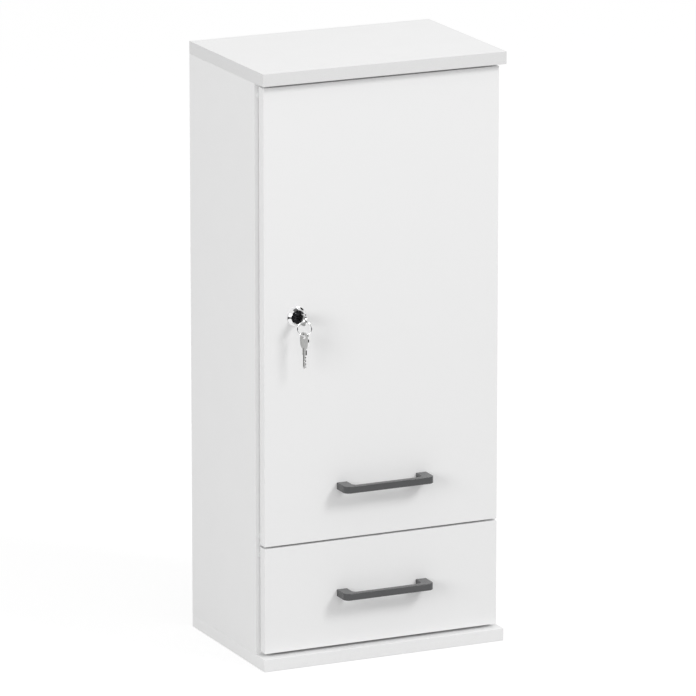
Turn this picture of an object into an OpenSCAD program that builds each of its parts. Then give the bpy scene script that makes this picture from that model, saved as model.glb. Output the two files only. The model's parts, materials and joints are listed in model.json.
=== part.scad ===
// Lockable cabinet of coated board: one hinged door with a cam lock over one drawer.
// X runs across the front, Y from the front to the back, Z up, all in millimetres.
// The origin is the centre of the bottom board's underside.

/* [Carcass] */
// Width of the top and bottom boards, which is the overall width
cabinet_w = 370; // [330:1:600]
// Depth of the top and bottom boards
cabinet_d = 250; // [234:1:340]
// Overall height
cabinet_h = 850; // [740:1:1100]
// Thickness of the carcass boards
board_t = 18; // [16:1:22]
// Thickness of the back panel
back_t = 3; // [2.5:0.5:5]
// Depth of the groove that holds the back panel
groove_d = 6; // [4:0.5:8]
// Height of the wall rail behind the back panel
wall_rail_h = 80; // [60:5:120]
// Distance between the two wall screw holes
wall_hole_spacing = 224; // [128:32:256]
// Diameter of the wall screw holes
wall_hole_dia = 6; // [5:0.5:8]

/* [Fronts] */
// Thickness of the door and the drawer front
front_t = 16; // [15:1:19]
// Distance from the front edge of the top board back to the fronts
front_setback = 11.5; // [4:0.5:20]
// Gap between the backs of the fronts and the side boards
front_gap = 1.5; // [1.5:0.1:2.5]
// Step from the cabinet's outer face in to the edge of each front
front_inset = 6; // [6:0.5:8]
// Gap between the top board and the door
top_gap = 4.5; // [2:0.5:6]
// Gap between the door and the drawer front
middle_gap = 3; // [2:0.5:6]
// Gap between the drawer front and the bottom board
bottom_gap = 4.5; // [2:0.5:6]
// Height of the drawer front
drawer_front_h = 151.5; // [145:0.5:200]

/* [Shelves] */
// Distance between the shelf pin holes, up the side boards
shelf_pitch = 32; // [25:1:40]
// Height of the lowest shelf pin hole above the divider
shelf_first = 112.5; // [60:0.5:140]
// Distance of the pin hole rows from the side board's front edge and from the back panel
shelf_row_inset = 37; // [30:1:50]
// Pin hole that carries the lower shelf, counted up from 0
lower_shelf_hole = 2; // [0:1:4]
// Pin hole that carries the upper shelf
upper_shelf_hole = 9; // [6:1:9]
// Gap at the ends and the back of each shelf
shelf_gap = 1; // [0.5:0.5:2]
// Radius of the pin in its hole
pin_r = 2.45; // [1.95:0.05:2.95]
// Radius of the pin's head, which carries the shelf
pin_head_r = 3.5; // [3:0.1:4.5]
// Length of the pin's head
pin_head_l = 8; // [6:0.5:12]
// Depth of the pin holes
pin_hole_d = 10; // [8:0.5:12]

/* [Handles] */
// Overall length of a handle
handle_len = 138; // [134:0.5:145]
// Distance of a handle's screws from its ends
handle_screw_in = 5; // [4:0.5:9]
// How far a handle stands out
handle_out = 29; // [22:0.5:40]
// Height of a handle
handle_h = 10; // [8:0.5:16]
// Depth of a handle's grip bar
handle_bar_d = 8; // [6:0.5:12]
// Width of a handle's legs
handle_leg_w = 16; // [14:0.5:20]
// Radius of a handle's outer front corners
handle_corner_r = 8.5; // [1:0.5:9]
// Radius inside a handle's finger gap
handle_fillet_r = 6.5; // [1:0.5:8]
// Height of the door handle's middle above the door's lower edge
door_handle_up = 76; // [30:1:200]

/* [Hinges] */
// Height of a hinge
hinge_h = 64; // [50:1:80]
// Distance of a hinge's middle from the door's end
hinge_end = 95; // [60:1:140]
// Thickness of the hinge leaves
leaf_t = 1.2; // [1:0.1:1.2]
// Radius of the hinge barrel
barrel_r = 2.6; // [2.4:0.1:2.6]
// Radius of the hinge pin
hinge_pin_r = 1.2; // [1:0.05:1.4]
// Width of the leaf on the door
door_leaf_w = 22; // [16:1:30]
// Width of the leaf on the side board
side_leaf_w = 10; // [9:0.5:11]
// Distance of the leaf screws from the hinge's middle
leaf_screw_pitch = 21; // [16:1:21]

/* [Lock] */
// Distance of the lock's axis from the door's left edge
lock_in = 49; // [42:1:70]
// Radius of the lock's collar on the door
collar_r = 14; // [11:0.5:16]
// Radius of the collar's front rim
collar_rim_r = 9.9; // [9.8:0.1:10.5]
// How far the collar stands out
collar_out = 4.5; // [3.5:0.5:8]
// Radius of the lock's threaded body
lock_body_r = 9; // [8.6:0.1:9.2]
// How far the lock's body reaches behind the door
lock_body_back = 8; // [6:0.5:12]
// Radius of the turning plug
plug_r = 7; // [6:0.1:7.5]
// Thickness of the cam
cam_t = 2.5; // [2:0.5:3]
// Width of the cam
cam_w = 14; // [12:1:18]
// Thickness of the keeper
keeper_t = 2; // [1.5:0.5:3]
// Height of the keeper
keeper_h = 34; // [30:1:60]

/* [Keys] */
// Overall length of a key
key_len = 52; // [50:0.5:52.5]
// Thickness of a key
key_t = 2; // [1.6:0.1:2.2]
// Radius of a key's bow
bow_r = 8; // [7:0.5:10]
// Length of a key's bow
bow_len = 24; // [20:0.5:25]
// Width of a key's shank
shank_w = 7; // [6:0.1:8]
// Length of a key's shank
shank_len = 8.4; // [6:0.1:9]
// Width of a key's toothed blade
blade_w = 4.6; // [4:0.1:6]
// Radius of the hole in a key's bow
key_hole_r = 3; // [2.8:0.1:3.4]
// Width of metal round the hole in a key's bow
key_rim = 3.5; // [3:0.1:4]
// Radius of the key ring, to the middle of its wire
ring_r = 9.7; // [9:0.1:14]
// Radius of the key ring's wire
ring_wire_r = 0.8; // [0.5:0.05:0.9]
// Turn of the key ring's plane away from the door's plane, in degrees
ring_turn = 25; // [15:1:35]
// Turn of the spare key's plane away from the ring's, in degrees
spare_turn = 45; // [45:1:75]

/* [Drawer] */
// Thickness of the drawer's sides and back
drawer_board_t = 12; // [12:1:16]
// Height of the drawer's sides
drawer_side_h = 100; // [80:1:105]
// Thickness of the drawer's bottom
drawer_bottom_t = 3; // [2.5:0.5:5]
// Height of the drawer's sides above the bottom board
drawer_lift = 16; // [12:1:20]
// Height of the drawer's bottom above its sides' lower edges
drawer_bottom_up = 8; // [6:0.5:12]
// Gap between the drawer's back and the cabinet's back panel
drawer_rear_gap = 18; // [14:1:40]

/* [Runners] */
// Gap beside the drawer that a runner fills
runner_gap = 12.5; // [12.5:0.5:13.5]
// Thickness of the runner's sheet steel
runner_t = 1.2; // [1:0.1:1.4]
// Outside height of the fixed rail
rail_h = 20; // [19.5:0.1:22]
// Width of the rails' flanges
rail_flange = 10; // [9:0.1:10]
// Radius of the rollers
roller_r = 8.4; // [7.8:0.1:8.4]
// Width of the rollers
roller_w = 7; // [6:0.5:7]
// Radius of the roller axles
axle_r = 2; // [1.5:0.1:2.5]

/* [Fixings] */
// Radius of the carcass dowels
dowel_r = 4; // [3:0.5:4]
// Length of the carcass dowels
dowel_len = 30; // [25:1:35]
// Radius of the drawer dowels
drawer_dowel_r = 3; // [2.5:0.5:4]
// Length of the drawer dowels
drawer_dowel_len = 24; // [20:1:26]
// Radius of the connector cams, which are sunk in the boards
con_cam_r = 7.4; // [6.9:0.1:7.9]
// Distance of the connector cams from the joint
con_cam_in = 34; // [24:1:34]
// Distance of the first connector from the side board's front edge and from the back panel
connector_inset = 35; // [25:1:40]
// Distance of each dowel from its connector
dowel_step = 32; // [20:1:32]
// Radius of the door and drawer bumpers
bumper_r = 4; // [3:0.5:5]
// Radial clearance of a pin, screw or dowel in its hole
fit = 0.05; // [0.02:0.01:0.1]
// Gap left between two pieces that move past each other
run_gap = 0.3; // [0.3:0.05:0.4]

/* [Hidden] */
$fn = 48;
cut = 1;                                     // how far a cut runs past the face that it opens

// Planes of the carcass
half_w = cabinet_w / 2;
front_y = -cabinet_d / 2;
rear_y = cabinet_d / 2;
in_x = half_w - board_t;                     // inner faces of the side boards
top_z = cabinet_h - board_t;                 // underside of the top board
door_front_y = front_y + front_setback;
door_back_y = door_front_y + front_t;
side_y = door_back_y + front_gap;            // front edges of the side boards
wall_rail_y = rear_y - board_t;
back_y = wall_rail_y - back_t;               // front face of the back panel
groove_gap = 0.1;                            // gap on each side of a sheet in its groove
sheet_end_gap = 0.5;                         // gap at a sheet's edges in its groove
slot_w = 0.7;                                // width and depth of the slots in the screw heads
slot_d = 0.9;
slot_reach = 0.6;                            // the slots' reach, as a share of the head's radius

// Planes of the fronts
front_half_w = half_w - front_inset;
drawer_front_z = board_t + bottom_gap;
drawer_top_z = drawer_front_z + drawer_front_h;
door_z = drawer_top_z + middle_gap;
door_top_z = top_z - top_gap;
divider_z = (drawer_top_z + door_z - board_t) / 2;
divider_top_z = divider_z + board_t;

// Connectors and dowels along the depth
con_rear_shift = 12;                         // the rear connector stands nearer to its edge
con_front_y = side_y + connector_inset;
con_rear_y = back_y - connector_inset + con_rear_shift;
con_ys = [con_front_y, con_rear_y];
dowel_ys = [con_front_y + dowel_step, con_rear_y - dowel_step];
bolt_r = 2.45;                               // connector bolt's thread
bolt_l = 11;                                 // its length in the face of a board
rod_r = 3;                                   // connector bolt's rod and head
rod_hole_r = 3.5;
neck_r = rod_r * 0.6;                        // the bolt's neck, which the cam grips
neck_l = 3;
bolt_head_l = 3;
bolt_head_past = 2;                          // how far the bolt's head passes the cam's axis
bolt_head_z = con_cam_in + bolt_head_past - bolt_head_l;
neck_start = bolt_head_z - neck_l;
con_cam_end = 4;                             // how far the cam passes the bolt's axis
con_cam_l = board_t / 2 + con_cam_end;
con_cam_deep = 2.6;                          // how far the cam's bore passes its axis
dowel_face_d = 12;                           // depth of a dowel in the face of a board
dowel_end_gap = 0.5;                         // room past each end of a dowel

// Wall rail
wall_hole_z = top_z - wall_rail_h / 2;
wall_hole_r = wall_hole_dia / 2;
back_hole_gap = 0.5;                         // the back panel's holes are this much larger in radius
rail_dowel_zs = [top_z - wall_rail_h * 0.25, top_z - wall_rail_h * 0.75];

// Shelves
shelf_hole_z = divider_top_z + shelf_first;
shelf_row_ys = [side_y + shelf_row_inset, back_y - shelf_row_inset];
shelf_rows = floor((top_z - con_cam_in - 2 * con_cam_r - shelf_hole_z) / shelf_pitch);
lower_pin_z = shelf_hole_z + lower_shelf_hole * shelf_pitch;
upper_pin_z = shelf_hole_z + upper_shelf_hole * shelf_pitch;
pin_end_gap = 0.5;                           // gap past a pin's end in its hole

// Handles
door_handle_z = door_z + door_handle_up;
drawer_handle_z = (drawer_front_z + drawer_top_z) / 2;
handle_screw_spacing = handle_len - 2 * handle_screw_in;
handle_screw_r = 1.95;
handle_hole_gap = 0.25;                      // radial room for the screws in the fronts
handle_head_r = 3.9;
handle_head_h = 2.4;
handle_thread = 9;                           // screw length inside the handle's leg

// Hinges
barrel_in = 0.4;                             // the barrel stays this far inside the outer face
hinge_x = half_w - barrel_r - barrel_in;
hinge_y = side_y - barrel_r - run_gap;
hinge_zs = [door_z + hinge_end, door_top_z - hinge_end];
knuckles = 5;                                // the side leaf has the even ones, counted from 0
knuckle_h = hinge_h / knuckles;
leaf_gap = 0.2;                              // gap round the door leaf in its recess
pin_cap_h = 1;
pin_cap_r = barrel_r * 0.85;
leaf_screw_r = 1.3;
leaf_head_r = 2.6;
leaf_screw_l = 12;
side_leaf_x = front_half_w - side_leaf_w;
door_leaf_x = front_half_w - door_leaf_w;
side_screw_x = front_half_w - side_leaf_w / 2;
door_screw_x = door_leaf_x + door_leaf_w * 0.35;

// Lock, along Y
lock_x = lock_in - front_half_w;
lock_z = (door_z + door_top_z) / 2;
collar_y = door_front_y - collar_out;        // the collar's front rim
recess_d = 2.5;                              // depth of the collar's recess
rim_w = 0.7;                                 // width of the collar's front rim
recess_r = collar_rim_r - rim_w;
collar_edge = 0.8;                           // height of the collar's straight edge at the door
plug_flange_t = 1.2;
recess_y = collar_y + recess_d;
lock_back_y = door_back_y + lock_body_back;
plug_face_y = recess_y - run_gap - plug_flange_t;
plug_back_out = 1;                           // how far the plug stands out of the lock's body
plug_back_y = lock_back_y + plug_back_out;
plug_fit = 0.08;                             // radial clearance of the plug in its bore
tail_s = 7;                                  // side of the plug's square tail
cam_play = 0.1;                              // gap between the plug and the cam
cam_y = plug_back_y + cam_play;
cam_back_y = cam_y + cam_t;
nut_t = 3.5;
nut_wall = 4;                                // from the lock's body to the nut's corners
nut_r = lock_body_r + nut_wall;
cam_gap = 1;                                 // gap from the cam to the keeper
cam_reach = in_x + lock_x - keeper_t - cam_gap;
keeper_y = cam_y - cam_gap - keeper_t;       // front face of the keeper's lip
keeper_lip = 17;                             // how far the lip reaches from the side board
keeper_d = 25;                               // depth of the keeper's plate
keeper_screw_y = keeper_y + keeper_d * 0.6;
keeper_screw_up = keeper_h * 0.3;            // each screw's height above or below the lock's axis
keeper_head_h = 1.8;
cam_head_r = 4.2;
cam_head_h = 2.2;
cam_screw_r = 2.45;
cam_screw_l = 5.6;
shelf_front_gap = 2.7;                       // gap between the cam's screw and the shelves
shelf_y = cam_back_y + cam_head_h + shelf_front_gap;
keyway_gap = 0.15;
tip_gap = 0.5;                               // room past the key's tip

// Keys, along Y and down from the ring
key_out = 33;                                // how far the key stands out of the door
key_end_y = door_front_y - key_out;
key_tip_y = key_end_y + key_len;
key_hole_in = key_rim + key_hole_r;          // from a bow's end to the middle of its hole
key_hole_y = key_end_y + key_hole_in;
ring_top_z = lock_z - key_hole_r + run_gap + ring_wire_r;
ring_z = ring_top_z - ring_r;
ring_low_z = ring_z - ring_r;
hang_gap = 0.6;                              // from the ring's wire up to the rim of the spare's hole
spare_top_z = ring_low_z + ring_wire_r + hang_gap + key_rim;
teeth = 6;
tooth_d = 1.2;                               // depth of the deep teeth
tooth_less = 0.5;                            // every other tooth is this much shallower
tooth_open = 0.45;                           // half a tooth's opening, as a share of the step

// Drawer
drawer_x = in_x - runner_gap;                // outer faces of the drawer's sides
drawer_in_x = drawer_x - drawer_board_t;
drawer_z = board_t + drawer_lift;
drawer_side_top_z = drawer_z + drawer_side_h;
drawer_rear_y = back_y - drawer_rear_gap;
drawer_floor_z = drawer_z + drawer_bottom_up;
drawer_groove_d = 6;
drawer_dowel_zs = [drawer_z + drawer_side_h * 0.3, drawer_z + drawer_side_h * 0.75];
drawer_dowel_in = 9;                         // depth of a drawer dowel in a face

// Runners
rail_up = 4;                                 // the fixed rail above the drawer's underside
rail_front_in = 2;                           // the rail's front end behind the side board's edge
rail_rear_gap = 6;                           // the rail's rear end to the back panel
front_axle_in = 9;                           // front axle behind the rail's front end
rear_axle_in = 11;                           // rear axle ahead of the drawer's rear
roller_proud = 0.7;                          // the front roller above the fixed rail
roller_clear = 1.1;                          // the front roller to the fixed rail's flange
rail_z = drawer_z + rail_up;                 // underside of the fixed rail
rail_top_z = rail_z + rail_h;
rail_front_y = side_y + rail_front_in;
rail_rear_y = back_y - rail_rear_gap;
front_axle_y = rail_front_y + front_axle_in;
front_axle_z = rail_top_z + roller_proud - roller_r;
flange_z = rail_top_z + roller_proud + run_gap;
rear_axle_y = drawer_rear_y - rear_axle_in;
rear_axle_z = rail_z + runner_t + run_gap + roller_r;
flange_start_y = front_axle_y + roller_r + roller_clear;
drawer_rail_in = 4;                          // the drawer's rail behind its front
front_collar = 0.3;                          // collar between the side rail's web and its roller
front_axle_head = 0.8;
rear_axle_head = 0.4;
rear_head_gap = 0.5;                         // the rear axle's head to the side rail's web
rear_collar = runner_gap - 2 * runner_t - roller_w - 2 * run_gap - rear_axle_head - rear_head_gap;
axle_head_r = 3.2;
hub_w = 2;                                   // wall of the roller's hub and of its rim
roller_dish = 1.2;                           // depth of the groove between them
roller_edge = 0.5;                           // the roller's bevelled edges
side_web_x = in_x - runner_t;                // inner face of the fixed rail's web
drawer_web_x = drawer_x + runner_t;          // outer face of the drawer rail's web
rail_screw_r = 1.6;
rail_head_r = 3;
rail_screw_l = 13;
drawer_screw_l = 10;
rail_screw_in = [65, 63];                    // the rail's screws, from the front and from the rear
rail_screw_ys = [side_y + rail_screw_in[0], back_y - rail_screw_in[1]];
drawer_screw_in = [36, 65];
drawer_screw_ys = [door_back_y + drawer_screw_in[0], drawer_rear_y - drawer_screw_in[1]];
drawer_screw_up = 18;
drawer_screw_z = drawer_z + drawer_screw_up;

// Bumpers: X and Z of each, on the front edges of the side boards
bumper_room = 0.2;                           // gap between a bumper and the front that shuts on it
bumper_in = 12;                              // bumper's middle from the front's end
bumper_t = front_gap - bumper_room;
bumper_x = half_w - board_t / 2;
bumper_spots = [[-bumper_x, door_top_z - bumper_in], [-bumper_x, door_z + bumper_in],
    [-bumper_x, drawer_top_z - bumper_in], [bumper_x, drawer_top_z - bumper_in]];

// Colours
white_board = [0.93, 0.93, 0.92];
raw_sheet = [0.90, 0.90, 0.89];
graphite = [0.27, 0.28, 0.29];
chrome = [0.80, 0.81, 0.82];
zinc = [0.68, 0.69, 0.70];
beech = [0.78, 0.62, 0.42];
nylon = [0.90, 0.90, 0.86];
enamel = [0.90, 0.91, 0.90];
black_metal = [0.07, 0.07, 0.08];

// --- Placing ---------------------------------------------------------------------------

// A box between two corners
module block(x, y, z) {
    translate([x[0], y[0], z[0]]) cube([x[1] - x[0], y[1] - y[0], z[1] - z[0]]);
}

// These turn a thing that points along +Z, and put its origin at p
module to_right(p) { translate(p) rotate([0, 90, 0]) children(); }
module to_left(p) { translate(p) rotate([0, -90, 0]) children(); }
module to_back(p) { translate(p) rotate([-90, 0, 0]) children(); }
module to_front(p) { translate(p) rotate([90, 0, 0]) children(); }

// The same thing on the right-hand side and, mirrored, on the left-hand side
module both_sides() {
    children();
    mirror([1, 0, 0]) children();
}

// Each right-hand joint between a side board and the top or bottom board: the joint is at
// local Z 0, the side board lies along +Z, and its inner face is at local -X
module at_side_ends(ys) {
    for (y = ys) {
        translate([in_x + board_t / 2, y, board_t]) children();
        translate([in_x + board_t / 2, y, top_z]) mirror([0, 0, 1]) children();
    }
}

// Each right-hand joint between the divider and the side board: the divider lies along
// local +Z, and its underside is at local -X
module at_divider_ends(ys) {
    for (y = ys) translate([in_x, y, divider_z + board_t / 2]) rotate([0, -90, 0]) children();
}

module at_hinges() {
    for (z = hinge_zs) translate([0, 0, z]) children();
}

module at_leaf_screws() {
    for (i = [-1, 0, 1]) translate([0, 0, i * leaf_screw_pitch]) children();
}

// --- Fixings ---------------------------------------------------------------------------

// Cross recess for a screwdriver, in a face at Z 0
module cross_recess(size) {
    for (a = [0, 90]) rotate([0, 0, a])
        translate([-size, -slot_w / 2, -cut]) cube([2 * size, slot_w, cut + slot_d]);
}

// Countersunk screw: its head is flush at Z 0 and it points along +Z
module flat_screw(head_r, shank_r, len) {
    difference() {
        union() {
            cylinder(r1 = head_r, r2 = shank_r, h = head_r - shank_r);
            cylinder(r = shank_r, h = len);
        }
        cross_recess(head_r * slot_reach);
    }
}

module flat_screw_hole(head_r, shank_r, len) {
    translate([0, 0, -cut]) cylinder(r = head_r + fit, h = cut);
    cylinder(r1 = head_r + fit, r2 = shank_r + fit, h = head_r - shank_r);
    cylinder(r = shank_r + fit, h = len + fit);
}

// Screw with a raised head: the head's seat is at Z 0, the shank points along +Z
module pan_screw(head_r, head_h, shank_r, len) {
    difference() {
        union() {
            translate([0, 0, -head_h]) cylinder(r = head_r, h = head_h);
            cylinder(r = shank_r, h = len);
        }
        translate([0, 0, -head_h]) cross_recess(head_r * slot_reach);
    }
}

// Dowel across a joint at Z 0, with its shorter end in the face at -Z
module dowel(r, len, face_d) {
    translate([0, 0, -face_d]) cylinder(r = r, h = len);
}

module dowel_hole(r, len, face_d) {
    translate([0, 0, -face_d - dowel_end_gap]) cylinder(r = r + fit, h = len + 2 * dowel_end_gap);
}

// Connector bolt: threaded into the face at -Z, with its head in the cam at +Z
module connector_bolt() {
    translate([0, 0, -bolt_l]) cylinder(r = bolt_r, h = bolt_l);
    cylinder(r = rod_r, h = neck_start);
    cylinder(r = neck_r, h = con_cam_in);
    translate([0, 0, bolt_head_z]) cylinder(r = rod_r, h = bolt_head_l);
}

// Connector cam, which goes into the board from local -X
module connector_cam() {
    difference() {
        translate([-board_t / 2, 0, con_cam_in]) rotate([0, 90, 0]) cylinder(r = con_cam_r, h = con_cam_l);
        translate([0, 0, con_cam_in - con_cam_r - cut])
            cylinder(r = rod_hole_r, h = con_cam_r + cut + con_cam_deep);
        translate([-board_t / 2, 0, con_cam_in]) rotate([0, 90, 0]) cross_recess(con_cam_r * slot_reach);
    }
}

module connector_holes() {
    translate([0, 0, -bolt_l - fit]) cylinder(r = bolt_r + fit, h = bolt_l + 2 * fit);
    cylinder(r = rod_hole_r, h = con_cam_in);
    translate([-board_t / 2 - cut, 0, con_cam_in])
        rotate([0, 90, 0]) cylinder(r = con_cam_r + fit, h = con_cam_l + cut + fit);
}

// --- Carcass ---------------------------------------------------------------------------

module end_board(z, groove_z) {
    difference() {
        block([-half_w, half_w], [front_y, rear_y], [z, z + board_t]);
        block([-in_x - groove_d, in_x + groove_d], [back_y - groove_gap, back_y + back_t + groove_gap],
            groove_z);
        both_sides() at_side_ends(con_ys) connector_holes();
        both_sides() at_side_ends(dowel_ys) dowel_hole(dowel_r, dowel_len, dowel_face_d);
    }
}

module top_panel() {
    color(white_board) end_board(top_z, [top_z - cut, top_z + groove_d]);
}

module bottom_panel() {
    color(white_board) end_board(0, [board_t - groove_d, board_t + cut]);
}

module wall_rail_dowels() {
    for (z = rail_dowel_zs) translate([in_x, wall_rail_y + board_t / 2, z]) rotate([0, -90, 0]) children();
}

// The right-hand side board, with what both side boards have
module side_board() {
    difference() {
        block([in_x, half_w], [side_y, rear_y], [board_t, top_z]);
        block([in_x - cut, in_x + groove_d], [back_y - groove_gap, back_y + back_t + groove_gap],
            [board_t - cut, top_z + cut]);
        for (y = shelf_row_ys, i = [0 : shelf_rows - 1])
            to_right([in_x - cut, y, shelf_hole_z + i * shelf_pitch])
                cylinder(r = pin_r + fit, h = pin_hole_d + cut);
        at_side_ends(con_ys) connector_holes();
        at_side_ends(dowel_ys) dowel_hole(dowel_r, dowel_len, dowel_face_d);
        at_divider_ends(con_ys) connector_holes();
        at_divider_ends(dowel_ys) dowel_hole(dowel_r, dowel_len, dowel_face_d);
        wall_rail_dowels() dowel_hole(dowel_r, dowel_len, dowel_face_d);
        at_rail_screws() flat_screw_hole(rail_head_r, rail_screw_r, rail_screw_l);
    }
}

module left_side_panel() {
    color(white_board) difference() {
        mirror([1, 0, 0]) side_board();
        at_keeper_screws() translate([0, 0, -keeper_t])
            cylinder(r = rail_screw_r + fit, h = rail_screw_l + keeper_t);
    }
}

module right_side_panel() {
    color(white_board) difference() {
        side_board();
        at_hinges() at_side_leaf_screws() flat_screw_hole(leaf_head_r, leaf_screw_r, leaf_screw_l);
    }
}

module back_panel() {
    edge = groove_d - sheet_end_gap;
    color(raw_sheet) difference() {
        block([-in_x - edge, in_x + edge], [back_y, back_y + back_t], [board_t - edge, top_z + edge]);
        at_wall_holes() cylinder(r = wall_hole_r + back_hole_gap, h = board_t + back_t + 2 * cut);
    }
}

module divider_panel() {
    color(white_board) difference() {
        block([-in_x, in_x], [side_y, back_y - groove_gap], [divider_z, divider_top_z]);
        both_sides() at_divider_ends(con_ys) connector_holes();
        both_sides() at_divider_ends(dowel_ys) dowel_hole(dowel_r, dowel_len, dowel_face_d);
    }
}

module shelf(pin_z) {
    z = pin_z + pin_head_r;
    color(white_board)
        block([-in_x + shelf_gap, in_x - shelf_gap], [shelf_y, back_y - shelf_gap], [z, z + board_t]);
}

module upper_shelf() { shelf(upper_pin_z); }

module lower_shelf() { shelf(lower_pin_z); }

module shelf_pins() {
    color(zinc) both_sides() for (y = shelf_row_ys, z = [lower_pin_z, upper_pin_z])
        to_left([in_x, y, z]) {
            cylinder(r = pin_head_r, h = pin_head_l);
            translate([0, 0, pin_end_gap - pin_hole_d]) cylinder(r = pin_r, h = pin_hole_d);
        }
}

module at_wall_holes() {
    for (s = [-1, 1]) to_back([s * wall_hole_spacing / 2, back_y - cut, wall_hole_z]) children();
}

module wall_rail() {
    color(white_board) difference() {
        block([-in_x, in_x], [wall_rail_y, rear_y], [top_z - wall_rail_h, top_z]);
        at_wall_holes() cylinder(r = wall_hole_r, h = board_t + back_t + 2 * cut);
        both_sides() wall_rail_dowels() dowel_hole(dowel_r, dowel_len, dowel_face_d);
    }
}

module carcass_dowels() {
    color(beech) both_sides() {
        at_side_ends(dowel_ys) dowel(dowel_r, dowel_len, dowel_face_d);
        at_divider_ends(dowel_ys) dowel(dowel_r, dowel_len, dowel_face_d);
        wall_rail_dowels() dowel(dowel_r, dowel_len, dowel_face_d);
    }
}

module connector_bolts() {
    color(zinc) both_sides() {
        at_side_ends(con_ys) connector_bolt();
        at_divider_ends(con_ys) connector_bolt();
    }
}

module connector_cams() {
    color(zinc) both_sides() {
        at_side_ends(con_ys) connector_cam();
        at_divider_ends(con_ys) connector_cam();
    }
}

module bumpers() {
    color(nylon) for (spot = bumper_spots)
        to_front([spot[0], side_y, spot[1]]) cylinder(r = bumper_r, h = bumper_t);
}

// --- Hinges ----------------------------------------------------------------------------

// The knuckles with the given numbers, each joined by a strip from front_half_w
module hinge_knuckles(numbers, strip_y) {
    for (i = numbers) {
        z = i * knuckle_h - hinge_h / 2 + run_gap / 2;
        h = knuckle_h - run_gap;
        difference() {
            union() {
                translate([hinge_x, hinge_y, z]) cylinder(r = barrel_r, h = h);
                block([front_half_w, hinge_x], [strip_y, strip_y + leaf_t], [z, z + h]);
            }
            translate([hinge_x, hinge_y, z - cut]) cylinder(r = hinge_pin_r + fit, h = h + 2 * cut);
        }
    }
}

module at_side_leaf_screws() {
    at_leaf_screws() to_back([side_screw_x, side_y - leaf_t, 0]) children();
}

module at_door_leaf_screws() {
    at_leaf_screws() to_front([door_screw_x, door_back_y, 0]) children();
}

module hinge_side_leaves() {
    y = side_y - leaf_t;
    color(zinc) at_hinges() {
        difference() {
            block([side_leaf_x, front_half_w], [y, side_y], [-hinge_h / 2, hinge_h / 2]);
            at_side_leaf_screws() flat_screw_hole(leaf_head_r, leaf_screw_r, leaf_screw_l);
        }
        hinge_knuckles([0, 2, 4], y);
    }
}

module hinge_door_leaves() {
    y = door_back_y - leaf_t;
    color(zinc) at_hinges() {
        difference() {
            block([door_leaf_x, front_half_w], [y, door_back_y], [-hinge_h / 2, hinge_h / 2]);
            at_door_leaf_screws() flat_screw_hole(leaf_head_r, leaf_screw_r, leaf_screw_l);
        }
        hinge_knuckles([1, 3], y);
    }
}

module hinge_pins() {
    color(zinc) at_hinges() translate([hinge_x, hinge_y, 0]) {
        translate([0, 0, -hinge_h / 2]) cylinder(r = hinge_pin_r, h = hinge_h);
        translate([0, 0, hinge_h / 2]) cylinder(r = pin_cap_r, h = pin_cap_h);
        translate([0, 0, -hinge_h / 2 - pin_cap_h]) cylinder(r = pin_cap_r, h = pin_cap_h);
    }
}

module hinge_side_screws() {
    color(zinc) at_hinges() at_side_leaf_screws() flat_screw(leaf_head_r, leaf_screw_r, leaf_screw_l);
}

module hinge_door_screws() {
    color(zinc) at_hinges() at_door_leaf_screws() flat_screw(leaf_head_r, leaf_screw_r, leaf_screw_l);
}

// --- Door ------------------------------------------------------------------------------

module at_handle_screws(y, z) {
    for (s = [-1, 1]) to_front([s * handle_screw_spacing / 2, y, z]) children();
}

// A front board between two heights, drilled for its handle
module front_board(z0, z1, handle_z) {
    difference() {
        block([-front_half_w, front_half_w], [door_front_y, door_back_y], [z0, z1]);
        at_handle_screws(door_back_y + cut, handle_z)
            cylinder(r = handle_screw_r + handle_hole_gap, h = front_t + 2 * cut);
    }
}

module door_panel() {
    recess_h = hinge_h + 2 * leaf_gap;
    color(white_board) difference() {
        front_board(door_z, door_top_z, door_handle_z);
        to_front([lock_x, door_back_y + cut, lock_z]) cylinder(r = lock_body_r + fit, h = front_t + 2 * cut);
        at_hinges() {
            block([door_leaf_x - leaf_gap, front_half_w + cut], [door_back_y - leaf_t, door_back_y + cut],
                [-recess_h / 2, recess_h / 2]);
            at_door_leaf_screws() flat_screw_hole(leaf_head_r, leaf_screw_r, leaf_screw_l);
        }
    }
}

// Bow handle: its feet stand on Y 0 and it reaches to -Y
module bow_handle() {
    half = handle_len / 2;
    gap_x = half - handle_leg_w;
    gap_y = handle_out - handle_bar_d;
    corner = half - handle_corner_r;
    fillet = gap_x - handle_fillet_r;
    z = [-handle_h / 2, handle_h / 2];
    z_cut = [z[0] - cut, z[1] + cut];
    difference() {
        union() {
            block([-half, half], [handle_corner_r - handle_out, 0], z);
            block([-corner, corner], [-handle_out, 0], z);
            for (s = [-1, 1]) translate([s * corner, handle_corner_r - handle_out, z[0]])
                cylinder(r = handle_corner_r, h = handle_h);
        }
        block([-fillet, fillet], [-gap_y, cut], z_cut);
        block([-gap_x, gap_x], [handle_fillet_r - gap_y, cut], z_cut);
        for (s = [-1, 1]) translate([s * fillet, handle_fillet_r - gap_y, z_cut[0]])
            cylinder(r = handle_fillet_r, h = z_cut[1] - z_cut[0]);
        at_handle_screws(cut, 0) cylinder(r = handle_screw_r + fit, h = handle_thread + 1 + cut);
    }
}

module door_handle() {
    color(graphite) translate([0, door_front_y, door_handle_z]) bow_handle();
}

module handle_screws(z) {
    color(zinc) at_handle_screws(door_back_y, z)
        pan_screw(handle_head_r, handle_head_h, handle_screw_r, front_t + handle_thread);
}

module door_handle_screws() { handle_screws(door_handle_z); }

// --- Lock ------------------------------------------------------------------------------

// Turns the lock's parts, which are drawn along Z from the collar's rim, to point along +Y
module on_lock_axis(y) {
    to_back([lock_x, y, lock_z]) children();
}

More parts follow.
